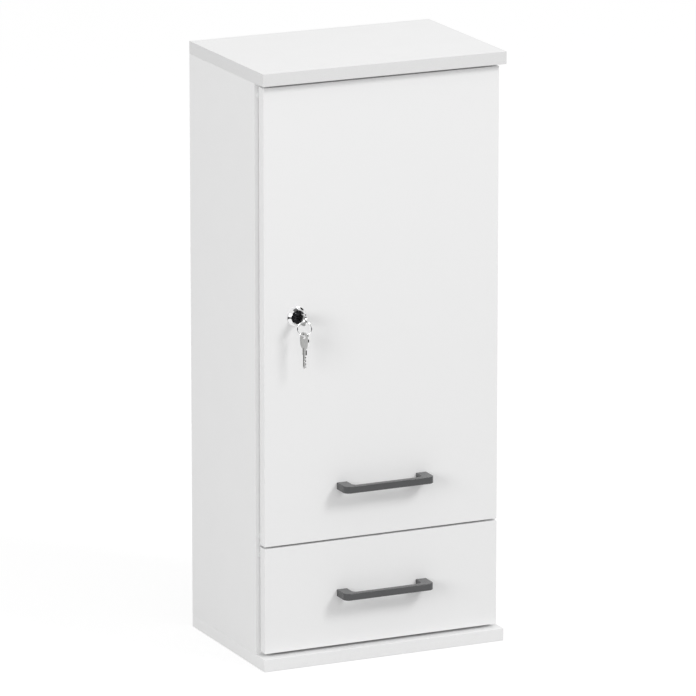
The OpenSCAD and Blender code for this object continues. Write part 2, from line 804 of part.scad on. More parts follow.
module lock_housing() {
    door_l = door_front_y - collar_y;
    body_l = lock_back_y - collar_y;
    color(chrome) on_lock_axis(collar_y) rotate_extrude() polygon([[recess_r, 0], [collar_rim_r, 0],
        [collar_r, door_l - collar_edge], [collar_r, door_l], [lock_body_r, door_l], [lock_body_r, body_l],
        [plug_r + plug_fit, body_l], [plug_r + plug_fit, recess_d], [recess_r, recess_d]]);
}

module lock_nut() {
    color(zinc) on_lock_axis(door_back_y) difference() {
        cylinder(r = nut_r, h = nut_t, $fn = 6);
        translate([0, 0, -cut]) cylinder(r = lock_body_r + fit, h = nut_t + 2 * cut);
    }
}

module lock_plug() {
    flange_r = recess_r - run_gap;
    body_l = plug_back_y - plug_face_y;
    color(black_metal) on_lock_axis(plug_face_y) difference() {
        union() {
            cylinder(r = flange_r, h = plug_flange_t);
            cylinder(r = plug_r, h = body_l);
            translate([-tail_s / 2, -tail_s / 2, 0]) cube([tail_s, tail_s, body_l + cam_t]);
        }
        translate([-key_t / 2 - keyway_gap, -shank_w / 2 - keyway_gap, -cut])
            cube([key_t + 2 * keyway_gap, shank_w + 2 * keyway_gap, key_tip_y + tip_gap - plug_face_y + cut]);
        translate([0, 0, body_l + cam_t - cam_screw_l - run_gap])
            cylinder(r = cam_screw_r + fit, h = cam_screw_l + cut);
    }
}

// The cam points up when the lock is open
module lock_cam() {
    hole_s = tail_s + 2 * fit;
    end_z = cam_reach - cam_w / 2;
    color(zinc) translate([lock_x, cam_y, lock_z]) difference() {
        union() {
            to_back([0, 0, 0]) cylinder(r = cam_w / 2, h = cam_t);
            to_back([0, 0, end_z]) cylinder(r = cam_w / 2, h = cam_t);
            block([-cam_w / 2, cam_w / 2], [0, cam_t], [0, end_z]);
        }
        block([-hole_s / 2, hole_s / 2], [-cut, cam_t + cut], [-hole_s / 2, hole_s / 2]);
    }
}

module cam_screw() {
    color(zinc) to_front([lock_x, cam_back_y, lock_z])
        pan_screw(cam_head_r, cam_head_h, cam_screw_r, cam_screw_l);
}

module at_keeper_screws() {
    for (s = [-1, 1]) to_left([keeper_t - in_x, keeper_screw_y, lock_z + s * keeper_screw_up])
        translate([0, 0, keeper_t]) children();
}

module lock_keeper() {
    z = [lock_z - keeper_h / 2, lock_z + keeper_h / 2];
    color(zinc) difference() {
        union() {
            block([-in_x, keeper_t - in_x], [keeper_y, keeper_y + keeper_d], z);
            block([-in_x, keeper_lip - in_x], [keeper_y, keeper_y + keeper_t], z);
        }
        at_keeper_screws() translate([0, 0, -keeper_t - cut])
            cylinder(r = rail_screw_r + fit, h = keeper_t + 2 * cut);
    }
}

module keeper_screws() {
    color(zinc) at_keeper_screws() translate([0, 0, -keeper_t])
        pan_screw(rail_head_r, keeper_head_h, rail_screw_r, rail_screw_l);
}

// --- Keys ------------------------------------------------------------------------------

// A flat piece of a key's thickness, from points in its plane
module key_piece(points) {
    translate([0, 0, -key_t / 2]) linear_extrude(key_t) polygon(points);
}

// A key as a plate about its own mid-plane: the bow's end is at the origin, the tip at -Y
module key_plate() {
    blade_y = -bow_len - shank_len;
    blade_l = key_len - bow_len - shank_len;
    step = (blade_l - blade_w) / teeth;
    half = blade_w / 2;
    difference() {
        union() {
            for (y = [-bow_r, bow_r - bow_len]) translate([0, y, -key_t / 2]) cylinder(r = bow_r, h = key_t);
            key_piece([[-bow_r, -bow_r], [bow_r, -bow_r], [bow_r, bow_r - bow_len], [-bow_r, bow_r - bow_len]]);
            key_piece([[-shank_w / 2, bow_r - bow_len], [shank_w / 2, bow_r - bow_len],
                [shank_w / 2, blade_y], [-shank_w / 2, blade_y]]);
            key_piece([[-half, blade_y + cut], [half, blade_y + cut], [half, half - key_len],
                [0, -key_len], [-half, half - key_len]]);
        }
        translate([0, -key_hole_in, -key_t]) cylinder(r = key_hole_r, h = 2 * key_t);
        for (i = [1 : teeth]) translate([half, blade_y - i * step, -key_t])
            linear_extrude(2 * key_t) polygon([[0, step * tooth_open], [i % 2 * tooth_less - tooth_d, 0],
                [0, -step * tooth_open], [cut, 0]]);
    }
}

// The key in the lock stands upright, in the plane of Y and Z, and points to +Y
module lock_key() {
    color(chrome) translate([lock_x, key_end_y, lock_z]) rotate([180, 0, 0]) rotate([0, 90, 0]) key_plate();
}

// The ring hangs in the hole of the key in the lock
module key_ring() {
    color(chrome) translate([lock_x, key_hole_y, ring_z]) rotate([0, 0, -ring_turn]) rotate([90, 0, 0])
        rotate_extrude() translate([ring_r, 0]) circle(r = ring_wire_r);
}

// The spare key hangs from the ring, with its tip down
module spare_key() {
    color(chrome) translate([lock_x, key_hole_y, spare_top_z]) rotate([0, 0, -spare_turn - ring_turn])
        rotate([90, 0, 0]) key_plate();
}

// --- Drawer ----------------------------------------------------------------------------

// Right-hand joints of a drawer side with the drawer front and with the drawer back
module at_drawer_front_dowels() {
    x = drawer_x - drawer_board_t / 2;
    for (z = drawer_dowel_zs) to_back([x, door_back_y, z]) children();
}

module at_drawer_back_dowels() {
    y = drawer_rear_y - drawer_board_t / 2;
    for (z = drawer_dowel_zs) to_left([drawer_in_x, y, z]) children();
}

module drawer_dowel_holes() {
    at_drawer_front_dowels() dowel_hole(drawer_dowel_r, drawer_dowel_len, drawer_dowel_in);
    at_drawer_back_dowels() dowel_hole(drawer_dowel_r, drawer_dowel_len, drawer_dowel_in);
}

// The slot that holds the drawer's bottom, in the sides and in the front
module drawer_bottom_slot() {
    x = drawer_in_x + drawer_groove_d;
    block([-x, x], [door_back_y - drawer_groove_d, drawer_rear_y + cut],
        [drawer_floor_z - groove_gap, drawer_floor_z + drawer_bottom_t + groove_gap]);
}

module drawer_front() {
    color(white_board) difference() {
        front_board(drawer_front_z, drawer_top_z, drawer_handle_z);
        drawer_bottom_slot();
        both_sides() drawer_dowel_holes();
    }
}

module drawer_side() {
    difference() {
        block([drawer_in_x, drawer_x], [door_back_y, drawer_rear_y], [drawer_z, drawer_side_top_z]);
        drawer_bottom_slot();
        drawer_dowel_holes();
        at_drawer_rail_screws() flat_screw_hole(rail_head_r, rail_screw_r, drawer_screw_l);
    }
}

module drawer_right_side() { color(white_board) drawer_side(); }

module drawer_left_side() { color(white_board) mirror([1, 0, 0]) drawer_side(); }

module drawer_back() {
    color(white_board) difference() {
        block([-drawer_in_x, drawer_in_x], [drawer_rear_y - drawer_board_t, drawer_rear_y],
            [drawer_floor_z + drawer_bottom_t + groove_gap, drawer_side_top_z]);
        both_sides() drawer_dowel_holes();
    }
}

module drawer_bottom() {
    edge = drawer_groove_d - sheet_end_gap;
    color(raw_sheet) block([-drawer_in_x - edge, drawer_in_x + edge], [door_back_y - edge, drawer_rear_y],
        [drawer_floor_z, drawer_floor_z + drawer_bottom_t]);
}

module drawer_dowels() {
    color(beech) both_sides() {
        at_drawer_front_dowels() dowel(drawer_dowel_r, drawer_dowel_len, drawer_dowel_in);
        at_drawer_back_dowels() dowel(drawer_dowel_r, drawer_dowel_len, drawer_dowel_in);
    }
}

module drawer_handle() {
    color(graphite) translate([0, door_front_y, drawer_handle_z]) bow_handle();
}

module drawer_handle_screws() { handle_screws(drawer_handle_z); }

// --- Runners ---------------------------------------------------------------------------

module at_rail_screws() {
    for (y = rail_screw_ys) to_right([side_web_x, y, rail_z + rail_h / 2]) children();
}

module at_drawer_rail_screws() {
    for (y = drawer_screw_ys) to_left([drawer_web_x, y, drawer_screw_z]) children();
}

// Fixed rail on the right-hand side board: a channel, open towards the drawer
module side_rail() {
    y = [rail_front_y, rail_rear_y];
    flange_x = in_x - rail_flange;
    color(enamel) difference() {
        union() {
            block([side_web_x, in_x], y, [rail_z, rail_top_z]);
            block([flange_x, in_x], y, [rail_z, rail_z + runner_t]);
            block([flange_x, in_x], [flange_start_y, rail_rear_y], [rail_top_z - runner_t, rail_top_z]);
        }
        at_rail_screws() flat_screw_hole(rail_head_r, rail_screw_r, rail_screw_l);
    }
}

module right_rail() { side_rail(); }

module left_rail() { mirror([1, 0, 0]) side_rail(); }

module rail_screws() {
    color(zinc) both_sides() at_rail_screws() flat_screw(rail_head_r, rail_screw_r, rail_screw_l);
}

// Moving rail under the drawer's right-hand side, with its flange over the front roller
module drawer_rail() {
    y = [door_back_y + drawer_rail_in, drawer_rear_y];
    color(enamel) difference() {
        union() {
            block([drawer_x, drawer_web_x], y, [drawer_z - runner_t, flange_z + runner_t]);
            block([drawer_in_x, drawer_web_x], y, [drawer_z - runner_t, drawer_z]);
            block([drawer_x, drawer_x + rail_flange], y, [flange_z, flange_z + runner_t]);
        }
        at_drawer_rail_screws() flat_screw_hole(rail_head_r, rail_screw_r, drawer_screw_l);
    }
}

module right_drawer_rail() { drawer_rail(); }

module left_drawer_rail() { mirror([1, 0, 0]) drawer_rail(); }

module drawer_rail_screws() {
    color(zinc) both_sides() at_drawer_rail_screws() flat_screw(rail_head_r, rail_screw_r, drawer_screw_l);
}

// Rivet through a roller: it stands on the web at Z 0 and has a head past the roller
module roller_axle(collar_l, head_t) {
    head_z = collar_l + roller_w + 2 * run_gap;
    cylinder(r = axle_head_r, h = collar_l);
    cylinder(r = axle_r, h = head_z + head_t);
    translate([0, 0, head_z]) cylinder(r = axle_head_r, h = head_t);
}

// Roller with a recessed hub, from Z 0 up
module roller() {
    bore = axle_r + fit;
    hub = axle_r + hub_w;
    rim = roller_r - hub_w;
    edge_r = roller_r - roller_edge;
    rotate_extrude() polygon([[bore, 0], [hub, 0], [hub, roller_dish], [rim, roller_dish], [rim, 0],
        [edge_r, 0], [roller_r, roller_edge], [roller_r, roller_w - roller_edge], [edge_r, roller_w],
        [rim, roller_w], [rim, roller_w - roller_dish], [hub, roller_w - roller_dish], [hub, roller_w],
        [bore, roller_w]]);
}

module at_front_axles() {
    both_sides() to_left([side_web_x, front_axle_y, front_axle_z]) children();
}

module at_rear_axles() {
    both_sides() to_right([drawer_web_x, rear_axle_y, rear_axle_z]) children();
}

module front_axles() {
    color(zinc) at_front_axles() roller_axle(front_collar, front_axle_head);
}

module front_rollers() {
    color(nylon) at_front_axles() translate([0, 0, front_collar + run_gap]) roller();
}

module rear_axles() {
    color(zinc) at_rear_axles() roller_axle(rear_collar, rear_axle_head);
}

module rear_rollers() {
    color(nylon) at_rear_axles() translate([0, 0, rear_collar + run_gap]) roller();
}

top_panel();
bottom_panel();
left_side_panel();
right_side_panel();
back_panel();
divider_panel();
upper_shelf();
lower_shelf();
shelf_pins();
wall_rail();
carcass_dowels();
connector_bolts();
connector_cams();
hinge_side_leaves();
hinge_pins();
hinge_side_screws();
lock_keeper();
keeper_screws();
bumpers();
left_rail();
right_rail();
rail_screws();
front_axles();
front_rollers();
door_panel();
door_handle();
door_handle_screws();
hinge_door_leaves();
hinge_door_screws();
lock_housing();
lock_nut();
lock_plug();
lock_cam();
cam_screw();
lock_key();
key_ring();
spare_key();
drawer_front();
drawer_left_side();
drawer_right_side();
drawer_back();
drawer_bottom();
drawer_dowels();
drawer_handle();
drawer_handle_screws();
left_drawer_rail();
right_drawer_rail();
drawer_rail_screws();
rear_axles();
rear_rollers();
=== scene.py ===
"""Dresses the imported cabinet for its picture: softened boards, fittings, keys, studio and camera.

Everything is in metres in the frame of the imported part: X to the right seen from the front, Y to the
back, Z up, with the origin at the centre of the bottom board's underside.
"""

import json
import logging
import math
from collections.abc import Iterable, Sequence
from dataclasses import dataclass
from enum import Enum

import bmesh
import bpy
from bmesh.types import BMesh
from mathutils import Matrix, Vector

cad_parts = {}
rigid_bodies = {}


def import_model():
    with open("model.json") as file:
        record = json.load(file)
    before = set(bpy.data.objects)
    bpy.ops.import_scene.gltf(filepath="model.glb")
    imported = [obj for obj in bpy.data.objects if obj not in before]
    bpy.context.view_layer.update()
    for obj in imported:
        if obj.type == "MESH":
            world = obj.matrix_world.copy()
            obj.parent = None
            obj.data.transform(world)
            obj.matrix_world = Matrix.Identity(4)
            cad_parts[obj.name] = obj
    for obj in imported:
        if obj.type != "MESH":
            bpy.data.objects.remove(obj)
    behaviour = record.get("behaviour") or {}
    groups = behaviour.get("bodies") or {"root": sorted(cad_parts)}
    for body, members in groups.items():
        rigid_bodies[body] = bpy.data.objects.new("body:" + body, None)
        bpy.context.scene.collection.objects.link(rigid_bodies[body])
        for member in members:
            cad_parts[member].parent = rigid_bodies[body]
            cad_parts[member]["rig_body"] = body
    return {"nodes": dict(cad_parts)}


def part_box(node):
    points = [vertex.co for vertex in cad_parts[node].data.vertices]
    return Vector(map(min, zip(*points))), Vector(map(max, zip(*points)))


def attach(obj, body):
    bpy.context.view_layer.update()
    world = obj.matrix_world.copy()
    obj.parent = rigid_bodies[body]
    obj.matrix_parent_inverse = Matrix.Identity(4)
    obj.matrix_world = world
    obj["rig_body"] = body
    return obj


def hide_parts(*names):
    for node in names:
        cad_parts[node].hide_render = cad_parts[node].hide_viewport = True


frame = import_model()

LOG = logging.getLogger("cabinet")
MM = 0.001
TURN = 2 * math.pi
MERGE = 0.000002  # points nearer to each other than this are one
TOUCH = 0.00002  # a point nearer to a plane than this lies in it
ROUNDED = 0.61  # edges that turn by more than this many radians are rounded
CREASE = math.radians(38)  # edges that turn by more than this stay sharp in the shading
STRAIGHT = 0.999  # a face whose normal has more than this along an axis faces along it
NOISE_LOW, NOISE_HIGH = 0.3, 0.7  # nearly all of a noise's values lie between these

Colour = tuple[float, float, float]
Point = tuple[float, float]
Corner = tuple[float, float, float]


def grey(tone: float) -> Colour:
    """A neutral colour."""
    return (tone, tone, tone)


# --- Finishes ------------------------------------------------------------------------------


class NodeGraph:
    """One material's nodes, with short calls for the textures that the finishes share."""

    def __init__(self, name: str) -> None:
        """Starts a material with a plain shader and object coordinates.

        Args:
            name: Name of the material.
        """
        self.material = bpy.data.materials.new(name)
        self.material.use_nodes = True
        self.tree = self.material.node_tree
        self.shader = self.tree.nodes["Principled BSDF"]
        self.place = self.add("ShaderNodeTexCoord").outputs["Object"]

    def add(self, kind: str, inputs: dict[str | int, object] | None = None, **settings: object) -> bpy.types.Node:
        """Adds a node.

        Args:
            kind: Blender's type name of the node.
            inputs: Values or sockets for the node's inputs, by input name or number.
            settings: Attributes of the node.

        Returns:
            The new node.
        """
        node = self.tree.nodes.new(kind)
        for key, value in settings.items():
            setattr(node, key, value)
        for key, value in (inputs or {}).items():
            if isinstance(value, bpy.types.NodeSocket):
                self.tree.links.new(value, node.inputs[key])
            else:
                node.inputs[key].default_value = value
        return node

    def stretched(self, stretch: Corner) -> bpy.types.NodeSocket:
        """Object coordinates, scaled by one factor for each axis."""
        node = self.add("ShaderNodeMapping", {"Vector": self.place, "Scale": stretch})
        return node.outputs["Vector"]

    def noise(self, cells: float, detail: float = 2.0, stretch: Corner = (1, 1, 1)) -> bpy.types.NodeSocket:
        """Makes a noise pattern.

        Args:
            cells: Number of spots per metre.
            detail: How many finer layers are laid over the spots.
            stretch: Factor on the pattern's frequency along each axis.

        Returns:
            The pattern's value, about 0.5 on average.
        """
        inputs = {"Vector": self.stretched(stretch), "Scale": cells, "Detail": detail}
        return self.add("ShaderNodeTexNoise", inputs).outputs["Fac"]

    def spread(self, value: bpy.types.NodeSocket, low: float, high: float) -> bpy.types.NodeSocket:
        """Maps the span of a noise to a range from low to high."""
        inputs = {"Value": value, "From Min": NOISE_LOW, "From Max": NOISE_HIGH, "To Min": low, "To Max": high}
        return self.add("ShaderNodeMapRange", inputs).outputs["Result"]

    def between(self, value: bpy.types.NodeSocket, dark: Colour, light: Colour) -> bpy.types.NodeSocket:
        """Colours a pattern.

        Args:
            value: The pattern.
            dark: Linear colour at the low end of a noise's span.
            light: Linear colour at its high end.

        Returns:
            The colour.
        """
        ramp = self.add("ShaderNodeValToRGB", {"Fac": value})
        stops = ramp.color_ramp.elements
        stops[0].position, stops[1].position = NOISE_LOW, NOISE_HIGH
        stops[0].color, stops[1].color = (*dark, 1), (*light, 1)
        return ramp.outputs["Color"]

    def relief(self, height: bpy.types.NodeSocket, depth: float) -> None:
        """Gives the surface a relief.

        Args:
            height: The pattern of heights.
            depth: Height of the relief in metres.
        """
        bump = self.add("ShaderNodeBump", {"Height": height, "Strength": 1.0, "Distance": depth})
        self.tree.links.new(bump.outputs["Normal"], self.shader.inputs["Normal"])

    def use(self, **inputs: object) -> None:
        """Sets or links inputs of the shader.

        Args:
            inputs: Values or sockets, by input name with underscores for its spaces.
        """
        for key, value in inputs.items():
            socket = self.shader.inputs[key.replace("_", " ")]
            if isinstance(value, bpy.types.NodeSocket):
                self.tree.links.new(value, socket)
            else:
                socket.default_value = value


@dataclass(frozen=True)
class Finish:
    """A surface with a fine two-tone grain, a relief and a gloss that varies a little.

    The grain has so many cells per metre, and its relief is given in metres. The gloss changes in
    clouds, each as wide as the given number of cells.
    """

    light: Colour
    dark: Colour
    cells: float
    relief: float
    rough: Point
    metal: float = 0.0
    stretch: Corner = (1, 1, 1)
    detail: float = 2.0
    coat: float = 0.0
    specular: float = 0.5
    cloud: float = 60.0
    cloud_detail: float = 3.0

    def material(self, name: str) -> bpy.types.Material:
        """Builds the finish as a material.

        Args:
            name: Name of the material.

        Returns:
            The material.
        """
        graph = NodeGraph(name)
        grain = graph.noise(self.cells, self.detail, self.stretch)
        cloud = graph.noise(self.cells / self.cloud, self.cloud_detail)
        graph.use(
            Base_Color=graph.between(grain, self.dark, self.light),
            Roughness=graph.spread(cloud, *self.rough),
            Metallic=self.metal,
            Coat_Weight=self.coat,
            Specular_IOR_Level=self.specular,
        )
        graph.relief(grain, self.relief)
        return graph.material


@dataclass(frozen=True)
class FlakeFinish(Finish):
    """Pressed wood flakes, as on the raw core of a board."""

    def material(self, name: str) -> bpy.types.Material:
        """Builds the finish from cells of random brown tones.

        Args:
            name: Name of the material.

        Returns:
            The material.
        """
        graph = NodeGraph(name)
        flakes = graph.add("ShaderNodeTexVoronoi", {"Vector": graph.stretched(self.stretch), "Scale": self.cells})
        tone = graph.add("ShaderNodeSeparateColor", {"Color": flakes.outputs["Color"]}).outputs["Red"]
        graph.use(Base_Color=graph.between(tone, self.dark, self.light), Roughness=graph.spread(tone, *self.rough))
        graph.relief(flakes.outputs["Distance"], self.relief)
        return graph.material


@dataclass(frozen=True)
class ScreenFinish(Finish):
    """Lacquered hardboard with the fine square mesh of its press screen."""

    sway: float = 0.4

    def material(self, name: str) -> bpy.types.Material:
        """Builds the finish with a woven relief.

        Args:
            name: Name of the material.

        Returns:
            The material.
        """
        graph = NodeGraph(name)
        cloud = graph.noise(self.cells / self.cloud, self.cloud_detail)
        waves = []
        for direction in ("X", "Z"):
            inputs = {"Vector": graph.place, "Scale": self.cells, "Distortion": self.sway}
            wave = graph.add("ShaderNodeTexWave", inputs, bands_direction=direction)
            waves.append(wave.outputs["Fac"])
        mesh = graph.add("ShaderNodeMath", {0: waves[0], 1: waves[1]}, operation="MULTIPLY")
        graph.use(Base_Color=graph.between(cloud, self.dark, self.light), Roughness=graph.spread(cloud, *self.rough))
        graph.relief(mesh.outputs["Value"], self.relief)
        return graph.material


class Look(Enum):
    """The finishes of the cabinet, each built once."""

    LAMINATE = Finish(grey(0.872), grey(0.848), 1400, 0.00003, (0.40, 0.50), specular=0.25)
    BAND = Finish(grey(0.872), grey(0.852), 700, 0.00002, (0.32, 0.40), specular=0.25)
    # Darker edge bands for the top board only: painted shade standing in for the lesser light that falls on its
    # edges.
    TOP_BAND = Finish(grey(0.745), grey(0.725), 700, 0.00002, (0.32, 0.40), specular=0.25)
    CORE = FlakeFinish((0.56, 0.42, 0.27), (0.34, 0.23, 0.13), 420, 0.0002, (0.8, 0.95), stretch=(1, 1, 2.2))
    SHEET = ScreenFinish(
        (0.84, 0.84, 0.83), (0.80, 0.80, 0.785), 420, 0.00004, (0.5, 0.62), cloud=40.0, cloud_detail=4.0
    )
    GRAPHITE = Finish((0.078, 0.079, 0.081), (0.060, 0.061, 0.063), 2600, 0.00002, (0.17, 0.23), detail=3.0)
    CHROME = Finish((0.84, 0.84, 0.84), (0.76, 0.76, 0.77), 900, 0.000001, (0.03, 0.07), metal=1.0)
    KEY_STEEL = Finish(
        (0.47, 0.47, 0.46), (0.36, 0.36, 0.36), 1500, 0.000003, (0.08, 0.14), metal=1.0, stretch=(1, 1, 0.15)
    )
    PLUG = Finish((0.020, 0.020, 0.022), (0.010, 0.010, 0.012), 1800, 0.000006, (0.12, 0.22), coat=0.1)
    ZINC = Finish((0.66, 0.67, 0.70), (0.54, 0.55, 0.58), 260, 0.000008, (0.28, 0.42), metal=1.0, detail=4.0)
    CAST = Finish((0.60, 0.61, 0.62), (0.47, 0.48, 0.49), 800, 0.00004, (0.40, 0.55), metal=1.0, detail=4.0)
    NICKEL = Finish(
        (0.76, 0.75, 0.72), (0.66, 0.65, 0.62), 1200, 0.000008, (0.22, 0.34), metal=1.0, stretch=(1, 1, 0.1)
    )
    BEECH = Finish((0.66, 0.46, 0.28), (0.50, 0.32, 0.17), 500, 0.00006, (0.55, 0.70), stretch=(1, 0.1, 1))
    ENAMEL = Finish((0.83, 0.84, 0.83), (0.79, 0.80, 0.79), 500, 0.00003, (0.26, 0.36), coat=0.2)
    NYLON = Finish((0.80, 0.79, 0.74), (0.74, 0.73, 0.67), 900, 0.00003, (0.42, 0.55))
    SOFT_CLEAR = Finish((0.74, 0.76, 0.76), (0.68, 0.70, 0.70), 700, 0.00003, (0.30, 0.42))

    @property
    def material(self) -> bpy.types.Material:
        """The finish's material, which is made at its first use."""
        name = self.name.lower()
        return bpy.data.materials.get(name) or self.value.material(name)


# --- Shapes --------------------------------------------------------------------------------


def turned(profile: Sequence[Point], steps: int = 48, closed: bool = False) -> BMesh:
    """Turns a profile about Z.

    Args:
        profile: Points of radius and height.
        steps: Number of facets round the axis.
        closed: Whether the last point joins the first one.

    Returns:
        The turned shape.
    """
    shape = bmesh.new()
    verts = [shape.verts.new((r, 0, z)) for r, z in profile]
    follow = verts[1:] + verts[:1] if closed else verts[1:]
    edges = [shape.edges.new(pair) for pair in zip(verts, follow)]
    bmesh.ops.spin(shape, geom=verts + edges, axis=(0, 0, 1), angle=TURN, steps=steps, use_merge=True)
    return tidied(shape)


def tidied(shape: BMesh) -> BMesh:
    """Merges doubles and turns all faces outwards.

    Args:
        shape: The shape.

    Returns:
        The same shape.
    """
    bmesh.ops.remove_doubles(shape, verts=shape.verts, dist=MERGE)
    bmesh.ops.recalc_face_normals(shape, faces=shape.faces)
    return shape


def plate(corners: Sequence[Corner], thickness: float) -> BMesh:
    """Makes a plate in the plane of X and Y, from Z 0 up.

    Args:
        corners: Each corner's X and Y, and how far from it its rounding starts.
        thickness: Thickness of the plate.

    Returns:
        The plate.
    """
    shape = bmesh.new()
    verts = [shape.verts.new((x, y, 0)) for x, y, _ in corners]
    shape.faces.new(verts)
    for vert, (_, _, reach) in zip(verts, corners):
        if reach:
            facets = 3 if reach < MM else 8  # a small rounding needs fewer
            bmesh.ops.bevel(
                shape, geom=[vert], offset=reach, segments=facets, profile=0.5, affect="VERTICES", material=-1
            )
    made = bmesh.ops.extrude_face_region(shape, geom=shape.faces[:])["geom"]
    top = [item for item in made if isinstance(item, bmesh.types.BMVert)]
    bmesh.ops.translate(shape, verts=top, vec=(0, 0, thickness))
    return tidied(shape)


def block(low: Corner, high: Corner) -> BMesh:
    """Makes a box.

    Args:
        low: Its lowest corner.
        high: Its highest corner.

    Returns:
        The box.
    """
    shape = bmesh.new()
    size = Vector(high) - Vector(low)
    centre = (Vector(high) + Vector(low)) / 2
    bmesh.ops.create_cube(shape, size=1, matrix=Matrix.Translation(centre) @ Matrix.Diagonal((*size, 1)))
    return shape


def soften(shape: BMesh, width: float, segments: int = 2, edges: list[bmesh.types.BMEdge] | None = None) -> BMesh:
    """Rounds edges.

    Args:
        shape: The shape.
        width: Reach of the rounding.
        segments: Facets across the rounding.
        edges: The edges to round, or None for all that turn by more than ROUNDED.

    Returns:
        The same shape.
    """
    if edges is None:
        edges = [e for e in shape.edges if len(e.link_faces) == 2 and e.calc_face_angle(0) > ROUNDED]
    bmesh.ops.bevel(
        shape, geom=edges, offset=width, segments=segments, profile=0.5, affect="EDGES", material=-1,
        clamp_overlap=True,
    )
    return shape


def moved(shape: BMesh, matrix: Matrix) -> BMesh:
    """Moves a shape by a matrix."""
    bmesh.ops.transform(shape, matrix=matrix, verts=shape.verts)
    return shape


def as_mesh(name: str, shape: BMesh) -> bpy.types.Mesh:
    """Turns a shape into a mesh.

    Args:
        name: Name of the mesh.
        shape: The shape, which is freed.

    Returns:
        The mesh.
    """
    mesh = bpy.data.meshes.new(name)
    shape.to_mesh(mesh)
    shape.free()
    return mesh


def placed(name: str, data: bpy.types.ID) -> bpy.types.Object:
    """Puts an object into the scene.

    Args:
        name: Name of the object.
        data: Its mesh, light or camera.

    Returns:
        The object, at the origin.
    """
    item = bpy.data.objects.new(name, data)
    bpy.context.scene.collection.objects.link(item)
    return item


def joined(shapes: Iterable[BMesh]) -> BMesh:
    """Puts several shapes into one.

    Args:
        shapes: The shapes, which are freed.

    Returns:
        All of them in one.
    """
    whole = bmesh.new()
    for shape in shapes:
        mesh = as_mesh("part", shape)
        whole.from_mesh(mesh)
        bpy.data.meshes.remove(mesh)
    return whole


def aimed(point: Sequence[float], axis: Sequence[float], roll: float = 0.0) -> Matrix:
    """Places a shape that stands on its origin along +Z.

    Args:
        point: Where the origin goes.
        axis: Where +Z points.
        roll: Turn of the shape about its own Z first, in radians.

    Returns:
        The placing matrix.
    """
    turn = Vector(axis).to_track_quat("Z", "Y").to_matrix().to_4x4()
    return Matrix.Translation(point) @ turn @ Matrix.Rotation(roll, 4, "Z")


def cut_away(shape: BMesh, tool: BMesh) -> BMesh:
    """Cuts a tool's room out of a shape.

    Args:
        shape: The shape, which is freed.
        tool: The shape to take away, which is freed.

    Returns:
        What is left.
    """
    body, cutter = (placed("cut", as_mesh("cut", part)) for part in (shape, tool))
    modifier = body.modifiers.new("Cut", "BOOLEAN")
    modifier.operation = "DIFFERENCE"
    modifier.solver = "EXACT"
    modifier.object = cutter
    result = bmesh.new()
    result.from_object(body, bpy.context.evaluated_depsgraph_get())
    for item in (body, cutter):
        mesh = item.data
        bpy.data.objects.remove(item)
        bpy.data.meshes.remove(mesh)
    return result


def cad_shape(node: str) -> BMesh:
    """Copies a CAD node's mesh.

    Args:
        node: Name of the node.

    Returns:
        The copy, with its doubles merged.
    """
    shape = bmesh.new()
    shape.from_mesh(frame["nodes"][node].data)
    bmesh.ops.remove_doubles(shape, verts=shape.verts, dist=MERGE)
    return shape


def cad_copy(node: str, flat: float = math.radians(0.3)) -> BMesh:
    """Copies a CAD node's mesh with its flat faces whole.

    Args:
        node: Name of the node.
        flat: Triangles that meet at less than this angle are one face.

    Returns:
        The copy.
    """
    shape = cad_shape(node)
    bmesh.ops.dissolve_limit(shape, angle_limit=flat, verts=shape.verts, edges=shape.edges)
    return shape


def solids(node: str) -> list[tuple[Vector, Vector]]:
    """Finds the separate solids of a CAD node.

    Args:
        node: Name of the node.

    Returns:
        Each solid's lowest and highest corner.
    """
    shape = cad_shape(node)
    left = set(shape.verts)
    boxes = []
    while left:
        found = [left.pop()]
        for vert in found:
            near = {edge.other_vert(vert) for edge in vert.link_edges} & left
            left -= near
            found.extend(near)
        places = [vert.co for vert in found]
        low = Vector(min(p[i] for p in places) for i in range(3))
        high = Vector(max(p[i] for p in places) for i in range(3))
        boxes.append((low, high))
    shape.free()
    return sorted(boxes, key=lambda box: tuple(round(x, 5) for x in box[0]))


def piece(name: str, shape: BMesh, looks: Sequence[Look], node: str) -> None:
    """Makes a piece of the cabinet, which stands for a CAD node and rides on its body.

    Args:
        name: Name of the piece.
        shape: Its mesh in the frame of the part, which is freed.
        looks: Its finishes, in the order of its faces' material numbers.
        node: CAD node that it stands for.
    """
    for face in shape.faces:
        face.smooth = True
    mesh = as_mesh(name, shape)
    mesh.set_sharp_from_angle(angle=CREASE)
    for look in looks:
        mesh.materials.append(look.material)
    item = placed(name, mesh)
    even = item.modifiers.new("Even shading", "WEIGHTED_NORMAL")
    even.keep_sharp = True
    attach(item, frame["nodes"][node]["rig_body"])
    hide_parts(node)
    LOG.info("%s: %d faces, for %s", name, len(mesh.polygons), node)


def dress(look: Look, node: str) -> None:
    """Gives a CAD node a finish and leaves its shape alone.

    Args:
        look: The finish.
        node: Name of the CAD node.
    """
    data = frame["nodes"][node].data
    data.materials.clear()
    data.materials.append(look.material)
    LOG.info("%s: CAD shape in %s", node, look.name.lower())


def softened_node(node: str, look: Look, width: float) -> None:
    """Replaces a CAD node by a copy of itself with rounded edges.

    Args:
        node: Name of the node.
        look: Its finish.
        width: Reach of the rounding.
    """
    piece(f"{node}_soft", soften(cad_copy(node), width), [look], node)


# --- Boards --------------------------------------------------------------------------------


